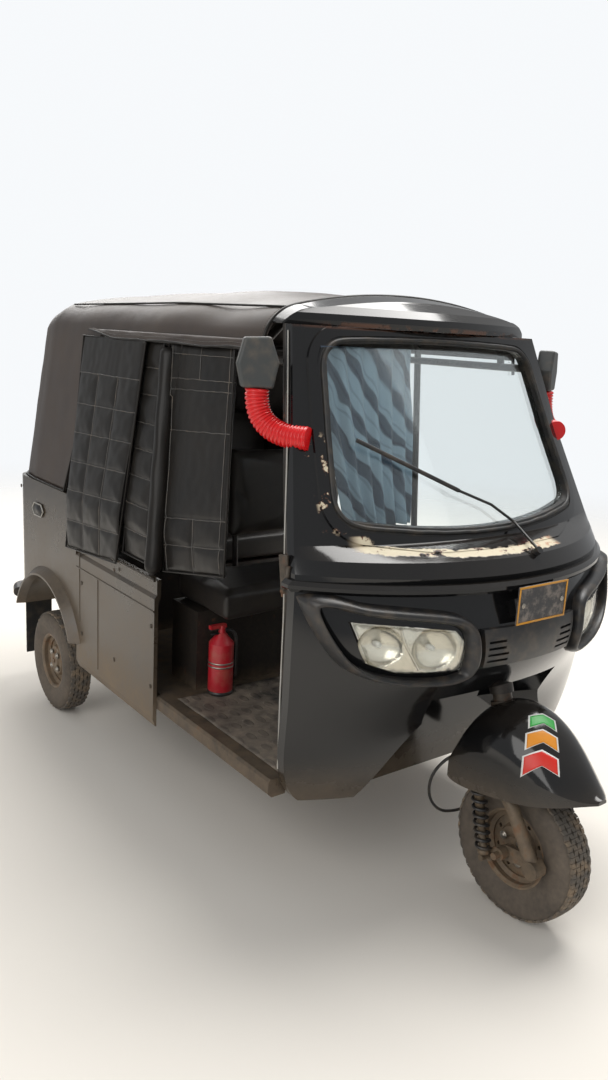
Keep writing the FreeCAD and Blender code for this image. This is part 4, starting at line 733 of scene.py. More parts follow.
print("finishes made")


def oneSide(mesh):
    return sum(face.area for face in mesh.polygons)


def facing(mesh, outward):      # turned so that its faces look towards a side
    total = sum((face.normal * face.area for face in mesh.polygons), Vector())
    if total.dot(Vector(outward)) < 0:
        mesh.flip_normals()
    return mesh


# Canopy: one sheet from foot to foot over the hoops and down the back
canopySizes = {"thick": 0.003, "sag": 0.008, "wrinkle": 0.0030, "low": 0.956, "valance": 1.546, "doorRear": 0.600,
               "doorLean": 0.126, "backHalf": 0.330, "backLow": 1.130, "backHigh": 1.400, "bulge": 0.16,
               "hoops": (-0.400, 0.020, 0.640, 1.150), "footSteps": 26, "backSteps": 14}
# each row: y, the seam's x and z, the shoulder's x and z, the crown's z and the foot's x
canopyRows = [(-0.439, 0.512, 1.592, 0.405, 1.674, 1.718, 0.612), (0.150, 0.528, 1.592, 0.425, 1.684, 1.740, 0.628),
              (1.050, 0.530, 1.585, 0.425, 1.672, 1.722, 0.626), (1.170, 0.516, 1.562, 0.412, 1.646, 1.692, 0.611),
              (1.226, 0.492, 1.528, 0.390, 1.606, 1.648, 0.582), (1.249, 0.452, 1.478, 0.356, 1.548, 1.586, 0.534)]


def arcThrough(a, b, c, count):      # points of the arc through three
    (ax, az), (bx, bz), (cx, cz) = a, b, c
    a2, b2, c2 = ax * ax + az * az, bx * bx + bz * bz, cx * cx + cz * cz
    d = 2 * (ax * (bz - cz) + bx * (cz - az) + cx * (az - bz))
    ux = (a2 * (bz - cz) + b2 * (cz - az) + c2 * (az - bz)) / d
    uz = (a2 * (cx - bx) + b2 * (ax - cx) + c2 * (bx - ax)) / d
    radius = math.hypot(ax - ux, az - uz)
    first, last = math.atan2(az - uz, ax - ux), math.atan2(cz - uz, cx - ux)
    if last - first > math.pi:
        last -= 2 * math.pi
    if first - last > math.pi:
        last += 2 * math.pi
    angles = [mixed(first, last, i / count) for i in range(count + 1)]
    return [(ux + radius * math.cos(t), uz + radius * math.sin(t)) for t in angles]


def canopyRow(y):
    for low, high in zip(canopyRows, canopyRows[1:]):
        if y <= high[0]:
            break
    share = (y - low[0]) / (high[0] - low[0])
    return [mixed(a, b, share) for a, b in zip(low, high)]


def canopyArch(y):      # the arch over the vehicle at a place along it
    s = canopySizes
    y, seamX, seamZ, shoulderX, shoulderZ, crownZ, footX = canopyRow(y)
    seam, shoulder = (-seamX, seamZ), (-shoulderX, shoulderZ)
    run = Vector((-(shoulderZ - seamZ), seamX - shoulderX)).normalized() * (seamX - shoulderX) * s["bulge"]
    bulge = ((seam[0] + shoulder[0]) / 2 + run.x, (seam[1] + shoulder[1]) / 2 + run.y)
    shares = [i / s["footSteps"] for i in range(s["footSteps"])]
    half = [(-mixed(footX, seamX, share), mixed(s["low"], seamZ, share)) for share in shares]
    half += arcThrough(seam, bulge, shoulder, 8)[:-1]
    top = arcThrough(shoulder, (0.0, crownZ), (shoulderX, shoulderZ), 28)
    return [Vector((x, y, z)) for x, z in half + top + [(-x, z) for x, z in reversed(half)]]


def makeCanopy():
    s = canopySizes
    stops = [-0.439 + 1.489 * i / 60 for i in range(60)]
    stops += [1.05, 1.09, 1.13, 1.17, 1.189, 1.208, 1.226, 1.238, 1.249]
    rows = [canopyArch(y) for y in stops]
    back, steps = rows[-1], s["backSteps"]
    rows += [[Vector((p.x * (1 - k / steps), p.y, p.z)) for p in back] for k in range(1, steps + 1)]
    mesh = tidied(woven(*gridOf(rows)), 0.0004)
    bm = bmesh.new()
    bm.from_mesh(mesh)
    slant = Vector((0, s["low"] - s["valance"], s["doorLean"])).normalized()
    cuts = [((0, 0, s["valance"]), (0, 0, 1)), ((0, s["doorRear"], s["valance"]), (0, slant.y, -slant.z)),
            ((s["backHalf"], 0, 0), (1, 0, 0)), ((-s["backHalf"], 0, 0), (1, 0, 0)), ((0, 0, s["backLow"]), (0, 0, 1)),
            ((0, 0, s["backHigh"]), (0, 0, 1))]
    for place, side in cuts:
        bmesh.ops.bisect_plane(bm, geom=list(bm.verts) + list(bm.edges) + list(bm.faces), plane_co=place,
                               plane_no=side, dist=0.0001)

    def open(c):
        edgeY = s["doorRear"] + (s["valance"] - c.z) / (s["valance"] - s["low"]) * s["doorLean"]
        window = c.z < s["valance"] and abs(c.x) > 0.40 and c.y < edgeY
        return window or (c.y > 1.2 and abs(c.x) < s["backHalf"] and s["backLow"] < c.z < s["backHigh"])
    bmesh.ops.delete(bm, geom=[f for f in bm.faces if open(f.calc_center_median())], context="FACES")
    bm.normal_update()
    if sum(f.normal.z for f in bm.faces) < 0:
        bmesh.ops.reverse_faces(bm, faces=bm.faces)
        bm.normal_update()
    for v in bm.verts:
        gaps = [(a, b) for a, b in zip(s["hoops"], s["hoops"][1:]) if a < v.co.y < b]
        between = math.sin(math.pi * (v.co.y - gaps[0][0]) / (gaps[0][1] - gaps[0][0])) ** 2 if gaps else 0.0
        crown = soft(v.co.z, 1.56, 1.66)
        dip = between * crown * s["sag"] * (0.7 + 0.6 * noise.noise(v.co * 2.2))
        folds = waved(1.0, v.co.x * 7, v.co.y * 3.0, v.co.z * 5) + 0.5 * noise.noise(v.co * 15)
        flat = soft(0.22 - abs(v.co.x), 0.0, 0.12) if v.co.y > 1.2485 else 0.0
        side = v.normal.lerp(Vector((0, 1, 0)), flat)      # the back's middle moves straight
        v.co -= side * (dip + s["wrinkle"] * (folds + 1.2) * (0.6 + 0.5 * (1 - crown)))
    bm.to_mesh(mesh)
    bm.free()
    area = oneSide(mesh)
    piece = settled("canopySheet", thickened(mesh, s["thick"]), "vinyl_canopy", replaces=["canopy"])
    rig.sheet(piece, flat=(2.30, 2.25), held="stretched", rests_on=["hood_frame"], area=area)


def canopyEdge(y, z, side=-1):      # a place on the canopy's leaning side
    row = canopyRow(y)
    return Vector((side * (row[1] + (row[2] - z) / (row[2] - canopySizes["low"]) * (row[6] - row[1])), y, z))


def makeCanopyTrim():      # hems, piping along the shoulder and the front band, with their stitches
    s = canopySizes
    drop = s["valance"] - s["low"]
    hem = [canopyEdge(y / 100, s["valance"] - 0.002) for y in range(-43, 61, 4)]
    hem += [canopyEdge(s["doorRear"] + s["doorLean"] * i / 6, s["valance"] - i / 6 * drop) for i in range(1, 7)]
    foot = [canopyEdge(0.726 + 0.50 * i / 8, s["low"] + 0.003) for i in range(9)]
    shoulder = [canopyArch(y / 100)[s["footSteps"] + 6] for y in range(-43, 106, 6)]
    front = [p + Vector((0, 0.004, -0.001)) for p in canopyArch(-0.438)[22:-22:2]]
    welts = [both(pipe(line, 0.0035)) for line in (hem, foot, shoulder)]
    settled("canopyWelts", gathered(*welts, pipe(front, 0.0055)), "vinyl_curtain")
    above = [p + Vector((0.0006, 0, 0.014)) for p in hem[:26]]
    beside = [p + Vector((0.0, 0.018, 0.001)) for p in front]
    seams = [both(stitched(above, "vinyl_canopy")), stitched(beside, "vinyl_canopy")]
    settled("canopyStitches", gathered(*seams), "vinyl_canopy")


valanceSizes = {"front": -0.430, "long": 1.110, "top": 1.572, "wide": 0.026, "out": 0.0085, "thick": 0.0018,
                "flat": 1.112}


def makeValances():      # the canopy's edge, folded out over the tops of the curtains
    s = valanceSizes
    for name, side in (("valanceRight", -1), ("valanceLeft", 1)):
        rows = []
        for j in range(7):
            v, row = j / 6, []
            for i in range(141):
                y = s["front"] + s["long"] * i / 140
                droop = waved(0.007, y * 4.0, 2.0, side) + waved(0.0025, y * 16, 5.0, side)
                out = 0.0015 + s["out"] * v ** 0.6 + waved(0.0025, y * 11, v * 2, side)
                wide = (s["wide"] + droop) * (1 - 0.80 * soft(y, 0.46, 0.68)) * (1 - 0.5 * soft(-y, 0.40, 0.43))
                row.append(canopyEdge(y, s["top"] - wide * v, side) + Vector((side * out, 0, 0)))
            rows.append(row)
        mesh = facing(woven(*gridOf(rows)), (side, 0, 0.2))
        wide = oneSide(mesh) / s["flat"]
        band = settled(name, thickened(mesh, s["thick"]), "vinyl_canopy")
        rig.sheet(band, flat=(wide, s["flat"]), held="stretched", rests_on=["canopySheet"])
        settled(name + "Welt", pipe(rows[-1], 0.0030, "POLY"), "vinyl_curtain")
        line = [p + Vector((side * 0.0008, 0, 0.008)) for p in rows[-2]]
        # the stitches take the lighter seam paint, a painted highlight
        settled(name + "Stitches", stitched(line, "seam"), "seam", slot="vinyl_canopy")


# Curtains: quilted leaves that hang beside the door
def sideOf(tree, y, z):      # how far out a curtain's solid reaches
    spot = tree.ray_cast((-2.0, y, z), (1, 0, 0))[0]
    return tree.find_nearest((-0.62, y, z))[0].x if spot is None else spot.x


def leaf(corners, tree, quilt, across, down):      # corners: (y, z), from the upper front one round
    rows = []
    middle = sum((Vector(c) for c in corners), Vector((0, 0))) / 4
    a, b, c, d = [Vector(corner) for corner in corners]
    for j in range(down + 1):
        row = []
        for i in range(across + 1):
            u, v = i / across, j / down
            spot = a.lerp(b, u).lerp(d.lerp(c, u), v)
            inside = middle + (spot - middle) * 0.97
            x = sideOf(tree, inside.x, inside.y) + 0.0015 + (1 - quilt(u, v)) * 0.0085
            wave = waved(0.0045, spot.x * 5, spot.y * 3.5, 3.0) + waved(0.0013, spot.x * 30, spot.y * 26, 5.0)
            row.append(Vector((x + wave, spot.x, spot.y)))
        rows.append(row)
    return facing(woven(*gridOf(rows)), (-1, 0, 0))


def puffed(u, v, columns, rows):      # the height of a quilt of even cells
    return (min(abs(math.sin(math.pi * columns * u)), abs(math.sin(math.pi * rows * v))) + 0.0001) ** 0.45


def flapQuilt(u, v):
    return puffed(u, (v - 0.17) / 0.83, 3, 6) if v > 0.17 else (abs(math.sin(math.pi * u)) + 0.0001) ** 0.15


def stripQuilt(u, v):
    return puffed(u, v, 1, 8)


def frontQuilt(u, v):
    if v > 0.76:
        return puffed(u, (v - 0.76) / 0.24, 2, 2)
    low, high = (0.375, 0.76) if v > 0.375 else (0.20, 0.375) if v > 0.20 else (0.0, 0.20)
    return puffed(u, (v - low) / (high - low), 1, 1) ** 0.5


def seamLines(name, mesh, across, down):      # ridges of the seams, in the lighter seam paint as a painted highlight, read from the leaf's own points
    if name == "quiltedFlap":
        cross, upright = [0.17 + 0.83 * k / 6 for k in range(6)], [(k / 3, 0.17, 1.0) for k in (1, 2)]
    elif name == "quiltedStrip":
        cross, upright = [k / 8 for k in range(1, 8)], []
    else:
        cross = [0.05, 0.16, 0.20, 0.375, 0.76, 0.88]
        upright = [(0.5, 0.76, 1.0), (0.5, 0.0, 0.16), (0.06, 0.0, 1.0), (0.94, 0.0, 1.0)]

    def spot(u, v):
        i, j = min(round(u * across), across), min(round(v * down), down)
        wobble = waved(0.0012, u * 9, v * 11, 7.0)
        return mesh.vertices[j * (across + 1) + i].co + Vector((-0.0006, wobble, wobble * 1.5))
    lines = [[spot(k / across, v) for k in range(across + 1)] for v in cross]
    for u, first, last in upright:
        steps = max(int(down * (last - first)), 2)
        lines.append([spot(u, mixed(first, last, k / steps)) for k in range(steps + 1)])
    return lines


curtainLeaves = {
    "quiltedFlap": {"node": "curtain_rear_flap", "quilt": flapQuilt, "across": 56, "down": 96, "long": 0.79,
                    "corners": [(0.214, 1.540), (0.722, 1.545), (0.674, 0.752), (0.234, 0.792)]},
    "quiltedStrip": {"node": "curtain_front", "quilt": stripQuilt, "across": 24, "down": 130, "long": 0.714,
                     "corners": [(0.120, 1.546), (0.265, 1.546), (0.225, 0.832), (0.030, 0.832)]},
    "driverCurtain": {"node": "curtain_front", "quilt": frontQuilt, "across": 42, "down": 84, "long": 0.680,
                      "corners": [(-0.290, 1.546), (0.085, 1.546), (-0.050, 0.830), (-0.415, 0.902)]},
}
rollSizes = {"top": 1.528, "long": 0.70, "topY": 0.086, "footY": -0.036, "radius": 0.029, "sides": 28, "steps": 70}


def makeCurtains():
    for name, s in curtainLeaves.items():
        tree, corners, across, down = treeOf(s["node"]), s["corners"], s["across"], s["down"]
        mesh = leaf(corners, tree, s["quilt"], across, down)
        # the seam ridges take the lighter seam paint, a painted highlight along the quilting
        seams = gathered(*[pipe(line, 0.0014, "POLY", sides=1) for line in seamLines(name, mesh, across, down)])
        settled(name + "Seams", seams, "seam", slot="vinyl_curtain")
        wide = oneSide(mesh) / s["long"]
        welt = [Vector((sideOf(tree, y, z) + 0.003, y, z)) for y, z in corners + corners[:1]]
        piece = settled(name, thickened(mesh, 0.003), "vinyl_curtain", replaces=[s["node"]])
        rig.sheet(piece, flat=(wide, s["long"]), held="hung", rests_on=["hood_frame"])
        settled(name + "Welt", pipe(welt, 0.0038, "POLY"), "vinyl_curtain")


def makeRoll():      # the rolled upright between the strip and the driver's curtain
    s, rows = rollSizes, []
    for j in range(s["steps"] + 1):
        z = s["top"] - s["long"] * j / s["steps"]
        lean = canopyEdge(0.02, z).x + 0.010
        middle = mixed(s["topY"], s["footY"], j / s["steps"])
        ring = []
        for i in range(s["sides"]):
            turn = 2 * math.pi * i / s["sides"]
            across, along = math.cos(turn), math.sin(turn)
            radius = s["radius"] + waved(0.0022, across * 1.5, along * 1.5, z * 11)
            radius *= 1 - 0.30 * (soft(z, 1.515, 1.530) + soft(z, 0.842, 0.828))
            ring.append(Vector((lean + radius * across, middle + radius * along, z)))
        rows.append(ring)
    points, faces = gridOf(rows, closed=True)
    last = s["steps"] * s["sides"]
    faces += [tuple(range(s["sides"])), tuple(range(last, last + s["sides"]))]
    roll = settled("rolledCurtain", tidied(woven(points, faces)), "vinyl_curtain", replaces=["curtain_front"])
    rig.padded(roll, fill=0.8)


# Seats: blown up a little by cloth simulation
seatSizes = {"inset": 0.018, "voxel": 0.011, "cap": 0.016, "pressure": 4.0, "frames": 20, "proud": 0.003}


def makeCushion(node):
    s = seatSizes
    low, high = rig.box(node)
    middle = (Vector(low) + Vector(high)) / 2
    shares = [1 - s["inset"] / max(h - l, 0.05) for l, h in zip(low, high)]
    mesh = copyOf(node)
    for v in mesh.vertices:
        v.co = middle + Vector([(c - m) * share for c, m, share in zip(v.co, middle, shares)])
    holder = linked("pad", mesh)
    grain = holder.modifiers.new("grain", "REMESH")
    grain.mode, grain.voxel_size = "VOXEL", s["voxel"]
    mesh = asMesh(holder)
    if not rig.quick():
        start = [v.co.copy() for v in mesh.vertices]
        holder = linked("pad", mesh)
        cloth = holder.modifiers.new("cloth", "CLOTH")
        cloth.settings.use_pressure = True
        cloth.settings.uniform_pressure_force = s["pressure"]
        cloth.settings.effector_weights.gravity = 0.0
        for number in range(1, s["frames"] + 1):
            bpy.context.scene.frame_set(number)
        mesh = asMesh(holder)
        bpy.context.scene.frame_set(1)
        for v, first in zip(mesh.vertices, start):
            move = v.co - first
            v.co = first + move * min(1.0, s["cap"] / max(move.length, 0.0001))
    for v in mesh.vertices:
        v.co = Vector([min(max(c, l - s["proud"]), h + s["proud"]) for c, l, h in zip(v.co, low, high)])
    holder = linked("pad", mesh)
    holder.modifiers.new("finer", "SUBSURF").levels = 1
    name = node.replace("_", " ").title().replace(" ", "")
    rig.padded(settled(name, asMesh(holder), "vinyl_seat", replaces=[node]), fill=0.7)


# Mirror boots, red and corrugated, and the glass in the mirror heads
bootSizes = {"radius": 0.0325, "rib": 0.15, "pitch": 0.0104, "top": (-0.590, -0.525, 1.4475),
             "knee": (-0.594, -0.515, 1.318), "root": (-0.510, -0.656, 1.327)}


def makeMirrors():
    s = bootSizes
    top, knee, root = Vector(s["top"]), Vector(s["knee"]), Vector(s["root"])
    path = [top * (1 - t) ** 2 + knee * 2 * t * (1 - t) + root * t ** 2 for t in (i / 30 for i in range(31))]
    boot = grown(trees["bellows"], thread(path), "boot_red", radius=s["radius"], rib=s["rib"], pitch=s["pitch"])
    settled("corrugatedBoots", both(tidied(boot)), "boot_red", replaces=["mirror_boots"])
    rears = copyOf("mirror_heads", lambda f: f.normal.y > 0.8 and f.calc_area() > 0.0008)
    for side in (-1, 1):
        own = [v for v in rears.vertices if v.co.x * side > 0]
        centre = sum((v.co for v in own), Vector()) / len(own)
        for v in own:
            v.co = centre + (v.co - centre) * 0.86 + Vector((0, 0.0012, 0))
    settled("mirrorGlass", thickened(rears, 0.0008, 1.0), "mirror")


# Headlamps: a clear lens over a silver tray with two bowls, each (x, z, radius)
lampSizes = {"bowls": ((-0.446, 0.826, 0.052), (-0.316, 0.815, 0.058)), "tray": 0.010, "deep": 0.036,
             "grain": 0.006, "divider": ((-0.404, 0.878), (-0.397, 0.84), (-0.376, 0.80), (-0.352, 0.762))}
bulbOutline = [(-0.013, 0.0001), (-0.011, 0.006), (-0.004, 0.0085), (0.006, 0.0075), (0.014, 0.006),
               (0.014, 0.0001)]
ringSizes = {"middle": (-0.41, 0.832), "turns": 150, "round": 0.42}
# the moulding's edges in millimetres, (x, z)
mouldingOuter = [(-608, 950), (-560, 957), (-489, 940), (-399, 930), (-297, 918), (-243, 904), (-212, 876),
                 (-200, 833), (-200, 758), (-232, 722), (-279, 712), (-346, 715), (-408, 722), (-479, 741),
                 (-540, 783), (-584, 860), (-611, 934)]
mouldingInner = [(-584, 921), (-555, 926), (-486, 908), (-400, 898), (-290, 884), (-256, 874), (-236, 845),
                 (-233, 757), (-250, 742), (-281, 736), (-346, 737), (-408, 744), (-470, 762), (-524, 797),
                 (-566, 862)]


def finer(mesh, reach):      # edges split until none is longer than the reach
    bm = bmesh.new()
    bm.from_mesh(mesh)
    for _ in range(7):
        long = [e for e in bm.edges if e.calc_length() > reach]
        if not long:
            break
        bmesh.ops.subdivide_edges(bm, edges=long, cuts=1, use_grid_fill=False)
        bmesh.ops.triangulate(bm, faces=bm.faces)
    bm.to_mesh(mesh)
    bm.free()
    return mesh


def makeHeadlamps():
    s = lampSizes
    lens = copyOf("headlamps", lambda f: f.normal.y < -0.35 and f.calc_center_median().x < 0)
    tray = finer(lens.copy(), s["grain"])
    for v in tray.vertices:
        back = s["tray"]
        for x, z, radius in s["bowls"]:
            reach = math.hypot(v.co.x - x, v.co.z - z) / radius
            if reach < 1:
                back = max(back, s["tray"] + s["deep"] * (1 - reach ** 2) ** 0.6)
        ribs = 0.0012 * abs(math.sin(v.co.x * 130)) if back == s["tray"] else 0.0
        v.co += Vector((0.25, 0.97, 0)) * (back - ribs)
    settled("lampTrays", both(tray), "silver", replaces=["headlamps"])
    settled("lampLenses", both(thickened(lens, 0.002)), "lamp_glass", replaces=["headlamps"])
    tree = treeOf("headlamps")
    spots = [frontOf(tree, x, z) + Vector((0.008, 0.034, 0)) for x, z, radius in s["bowls"]]
    bulbs = [turnedMesh(bulbOutline, spot, "Y", 20) for spot in spots]
    settled("lampBulbs", both(gathered(*bulbs)), "white")
    rib = [frontOf(tree, x, z) + Vector((0.003, 0.006, 0)) for x, z in s["divider"]]
    settled("lampDividers", both(pipe(rib, 0.0035)), "silver")


def smoothLoop(points, steps=6):      # a closed line through points in millimetres, in metres
    count, line = len(points), []
    for i in range(count):
        a, b, c, d = [Vector(points[(i + k) % count]) for k in (-1, 0, 1, 2)]
        square, cube = 2 * a - 5 * b + 4 * c - d, 3 * b - 3 * c + d - a
        for t in (k / steps for k in range(steps)):
            line.append(0.5 * (2 * b + (c - a) * t + square * t * t + cube * t ** 3) / 1000)
    return line


def loopHit(loop, middle, turn):      # where a ray from the middle leaves the loop
    ray, far = Vector((math.cos(turn), math.sin(turn))), None
    for a, b in zip(loop, loop[1:] + loop[:1]):
        edge, gap = b - a, a - middle
        cross = ray.x * edge.y - ray.y * edge.x
        if abs(cross) < 1e-12:
            continue
        reach, share = (gap.x * edge.y - gap.y * edge.x) / cross, (gap.x * ray.y - gap.y * ray.x) / cross
        if reach > 0 and -1e-6 <= share <= 1 + 1e-6 and (far is None or reach > far):
            far = reach
    return middle + ray * far


def makeLampMouldings():      # rounded rings that follow the cowl
    s = ringSizes
    cowl, plainRing = treeOf("front_cowl"), treeOf("headlamp_mouldings")
    middle = Vector(s["middle"])
    outer, inner = smoothLoop(mouldingOuter), smoothLoop(mouldingInner)
    pairs, proud = [], []
    for i in range(s["turns"]):
        turn = 2 * math.pi * i / s["turns"]
        a, b = loopHit(inner, middle, turn), loopHit(outer, middle, turn)
        half = (a + b) / 2
        pairs.append((a, b))
        proud.append(max(frontOf(cowl, *half).y - frontOf(plainRing, *half).y, 0.012))
    rows = []
    for i, (a, b) in enumerate(pairs):
        out = sum(proud[(i + k) % s["turns"]] for k in range(-4, 5)) / 9
        ring = []
        for k in range(13):
            t = k / 12
            x, z = a.lerp(b, t)
            rise = out * (math.sin(math.pi * t) + 1e-9) ** s["round"]
            ring.append(Vector((x, frontOf(cowl, x, z).y - rise + 0.001, z)))
        ring += [ring[-1] + Vector((0, 0.006, 0)), ring[0] + Vector((0, 0.006, 0))]
        rows.append(ring)
    mesh = both(tidied(woven(*gridOf(rows + rows[:1], closed=True))))
    settled("lampRings", mesh, "black_plastic", replaces=["headlamp_mouldings"])


# Tyres: a round carcass with zigzag ribs of blocks
tyreSizes = {"radius": 0.208, "deep": 0.0065, "half": 0.054, "treadHalf": 0.042, "rim": 0.108, "ribs": 5,
             "pitches": 44, "gap": 0.0035, "lean": 0.0022}


def makeTyre(name, centre, body, node):
    s = tyreSizes
    tread, half, rim, treadHalf = s["radius"] - s["deep"], s["half"], s["rim"], s["treadHalf"]
    outline = [(-0.034, rim - 0.002), (-0.041, rim + 0.004), (-0.047, rim + 0.018), (-half + 0.002, rim + 0.040),
               (-half, rim + 0.056), (-half + 0.002, rim + 0.072), (-0.047, rim + 0.084), (-0.040, tread - 0.003),
               (-0.02, tread), (0, tread + 0.0005)]
    outline += [(-a, r) for a, r in reversed(outline[:-1])]
    carcass = turnedMesh(outline, centre, "X", 96)
    wide = 2 * treadHalf / s["ribs"]
    points, faces = [], []
    step = 2 * math.pi / s["pitches"]
    for rib in range(s["ribs"]):
        left = -treadHalf + rib * wide + s["gap"] / 2
        right = left + wide - s["gap"]
        lead = 0.5 * step * (rib % 2)
        for part, shift in ((0, 1), (1, -1)):
            first, last = lead + part * step / 2, lead + (part + 0.90) * step / 2
            corners = []
            for turn, lean in ((first, -shift), (last, shift)):
                for x in (left, right):
                    place = x + lean * s["lean"]
                    top = s["radius"] - 0.0035 * (abs(place) / treadHalf) ** 3
                    corners.append([(place, top * math.cos(turn), top * math.sin(turn)),
                                    (place, (tread - 0.003) * math.cos(turn), (tread - 0.003) * math.sin(turn))])
            start = len(points)
            points += [p for pair in corners for p in pair]
            quads = [(0, 2, 6, 4), (0, 1, 3, 2), (4, 6, 7, 5), (0, 4, 5, 1), (2, 3, 7, 6)]
            faces += [tuple(start + k for k in q) for q in quads]
    block = tidied(woven(points, faces))
    ring = grown(trees["ring"], block, "tyre_rubber", count=s["pitches"], place=centre)
    settled(name, carcass, "tyre_rubber", body, replaces=[node])
    blocks = settled(name + "Blocks", ring, "tread", body, "tyre_rubber", [node])
    blocks.data.set_sharp_from_angle(angle=math.radians(40))


# Springs of the front wheel, each a coil over a ribbed damper
springSizes = {"turns": 9.0, "radius": 0.0195, "wire": 0.0046, "low": (-0.096, -1.036, 0.184),
               "high": (-0.096, -0.984, 0.408)}


def makeSprings():
    s = springSizes
    low, high = Vector(s["low"]), Vector(s["high"])
    axis = high - low
    turn = Vector((0, 0, 1)).rotation_difference(axis).to_matrix().to_4x4()
    coil = grown(trees["coil"], woven([(0, 0, 0)], []), "running_gear", turns=s["turns"], radius=s["radius"],
                 wire=s["wire"], height=axis.length - 0.03)
    coil.transform(Matrix.Translation(low + axis.normalized() * 0.012) @ turn)
    profile = [(0.0, 0.0001), (0.0, 0.017), (0.012, 0.017), (0.014, 0.011), (0.10, 0.011), (0.104, 0.0145),
               (0.205, 0.0145), (0.208, 0.021), (axis.length, 0.021), (axis.length, 0.0001)]
    damper = turnedMesh(profile, (0, 0, 0), "Z", 24)
    damper.transform(Matrix.Translation(low) @ turn)
    settled("springCoils", both(coil), "black_plastic", "steering", "running_gear", ["front_springs"])
    settled("springDampers", both(damper), "running_gear", "steering", replaces=["front_springs"])


# Brake hose from the fork to the wheel's link
hoseSizes = {"length": 0.669, "diameter": 0.009}
hoseRoute = [(-0.072, -0.9799, 0.458), (-0.072, -0.936, 0.457), (-0.106, -0.882, 0.420), (-0.130, -0.846, 0.360),
             (-0.128, -0.831, 0.297), (-0.105, -0.828, 0.243), (-0.068, -0.836, 0.208), (-0.022, -0.844, 0.199),
             (0.026, -0.850, 0.199), (0.066, -0.868, 0.203), (0.090, -0.904, 0.203), (0.092, -0.948, 0.196),
             (0.078, -0.987, 0.184), (0.068, -1.008, 0.177), (0.0655, -1.0248, 0.175)]


def makeHose():
    curve = bpy.data.curves.new("brakeHose", "CURVE")
    curve.dimensions = "3D"
    curve.bevel_depth, curve.bevel_resolution, curve.use_fill_caps = hoseSizes["diameter"] / 2, 4, True
    spline = curve.splines.new("NURBS")
    spline.points.add(len(hoseRoute) - 1)
    for spot, place in zip(spline.points, hoseRoute):
        spot.co = (*place, 1.0)
    spline.order_u, spline.use_endpoint_u, spline.resolution_u = 3, True, 12
    curve.materials.append(paints["seal_rubber"])
    hose = linked("brakeHose", curve)
    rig.ride(hose, "steering")
    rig.slot(hose, "seal_rubber")
    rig.replaces(hose, "brake_hose")
    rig.cord(hose, exit=hoseRoute[0], length=hoseSizes["length"], diameter=hoseSizes["diameter"], far_end="object",
            stiffness="medium", lay="hanging")


# Small pieces on the front and the cab
plateSizes = {"half": 0.100, "low": 0.872, "high": 0.976, "front": -1.0650, "border": 0.0055, "proud": 0.0012}


def makePlateBorder():
    s = plateSizes
    half, low, high, border = s["half"], s["low"], s["high"], s["border"]
    back, front = s["front"], s["front"] + s["proud"]
    bars = [boxMesh((-half, back, low), (half, front, low + border)),
            boxMesh((-half, back, high - border), (half, front, high)),
            boxMesh((-half, back, low + border), (-half + border, front, high - border)),
            boxMesh((half - border, back, low + border), (half, front, high - border))]
    settled("plateBorder", gathered(*bars), "ochre")
    bolts = fasteners([((x, -1.0655, 0.924), (0, -1, 0)) for x in (-0.080, 0.080)], "zinc", 0.0048, 0.004)
    settled("plateBolts", bolts, "zinc")


clothSizes = {"top": 1.565, "drop": 0.500, "flat": 0.505, "fold": 0.012, "thick": 0.0012}


def makeCabCloth():      # a striped cloth hung behind the right half of the screen
    s, tree = clothSizes, treeOf("windscreen_glass")
    rows = []
    for j in range(61):
        v = j / 60
        row = []
        for i in range(121):
            u = i / 120
            x = mixed(-0.425 + 0.100 * v, -0.080 - 0.025 * v, u)
            z = s["top"] - s["drop"] * v
            fold = s["fold"] * math.sin(u * 40 + 1.6 * math.sin(v * 2.5)) * (0.5 + 0.5 * v)
            fold += waved(0.010, u * 6, v * 3, 0)
            row.append(Vector((x, frontOf(tree, x * 0.94, 1.55).y + 0.040 - 0.075 * v + fold, z)))
        rows.append(row)
    mesh = facing(woven(*gridOf(rows)), (0, -1, 0))
    wide = oneSide(mesh) / s["flat"]
    cloth = settled("screenCloth", thickened(mesh, s["thick"]), "cloth")
    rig.sheet(cloth, flat=(wide, s["flat"]), held="hung", rests_on=["windscreen_frame"])


matSizes = {"wide": 1.14, "long": 0.60, "front": -0.700, "floor": 0.400, "thick": 0.0016}


def makeMat():
    s, rows = matSizes, []
    for j in range(61):
        row = []
        for i in range(101):
            x, y = -s["wide"] / 2 + s["wide"] * i / 100, s["front"] + s["long"] * j / 60
            rise = 0.0040 + waved(0.0022, x * 9, y * 9, 1.0) + waved(0.0012, x * 30, y * 30, 2.0)
            row.append(Vector((x, y, s["floor"] + max(rise, s["thick"]))))
        rows.append(row)
    mesh = facing(woven(*gridOf(rows)), (0, 0, 1))
    mat = settled("floorMat", thickened(mesh, s["thick"]), "mat")
    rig.sheet(mat, flat=(s["wide"], s["long"]), held="laid", rests_on=["floor_pan"])


gripSizes = {"end": (0.320, -0.6665, 0.903), "run": (0.115, -0.045, 0.0), "radius": 0.0165}
dialOutline = [(-0.004, 0.0001), (-0.004, 0.036), (0.0, 0.040), (0.006, 0.040), (0.006, 0.0001)]


def makeControls():      # hand grips, and the dial's rim on the instrument pod
    end, run = Vector(gripSizes["end"]), Vector(gripSizes["run"])
    inner = end + Vector((-run.x, run.y, run.z))
    grip = pipe([inner, (inner + end) / 2, end], gripSizes["radius"], "POLY")
    settled("handGrips", both(grip), "black_plastic", "steering")
    settled("dialRim", turnedMesh(dialOutline, (0, -0.872, 1.02), "Y", 40), "black_plastic")


hubSizes = {"axle": 0.208, "ring": 0.042, "nut": 0.008}
# each: the nuts' name, their body, the x and y of their ring and their height
hubPlaces = [("frontNuts", "front_wheel", -0.046, -1.088, 0.008),
             ("rearNutsRight", "rear_wheel_right", -0.604, 0.897, 0.010),
             ("rearNutsLeft", "rear_wheel_left", 0.604, 0.897, 0.010)]


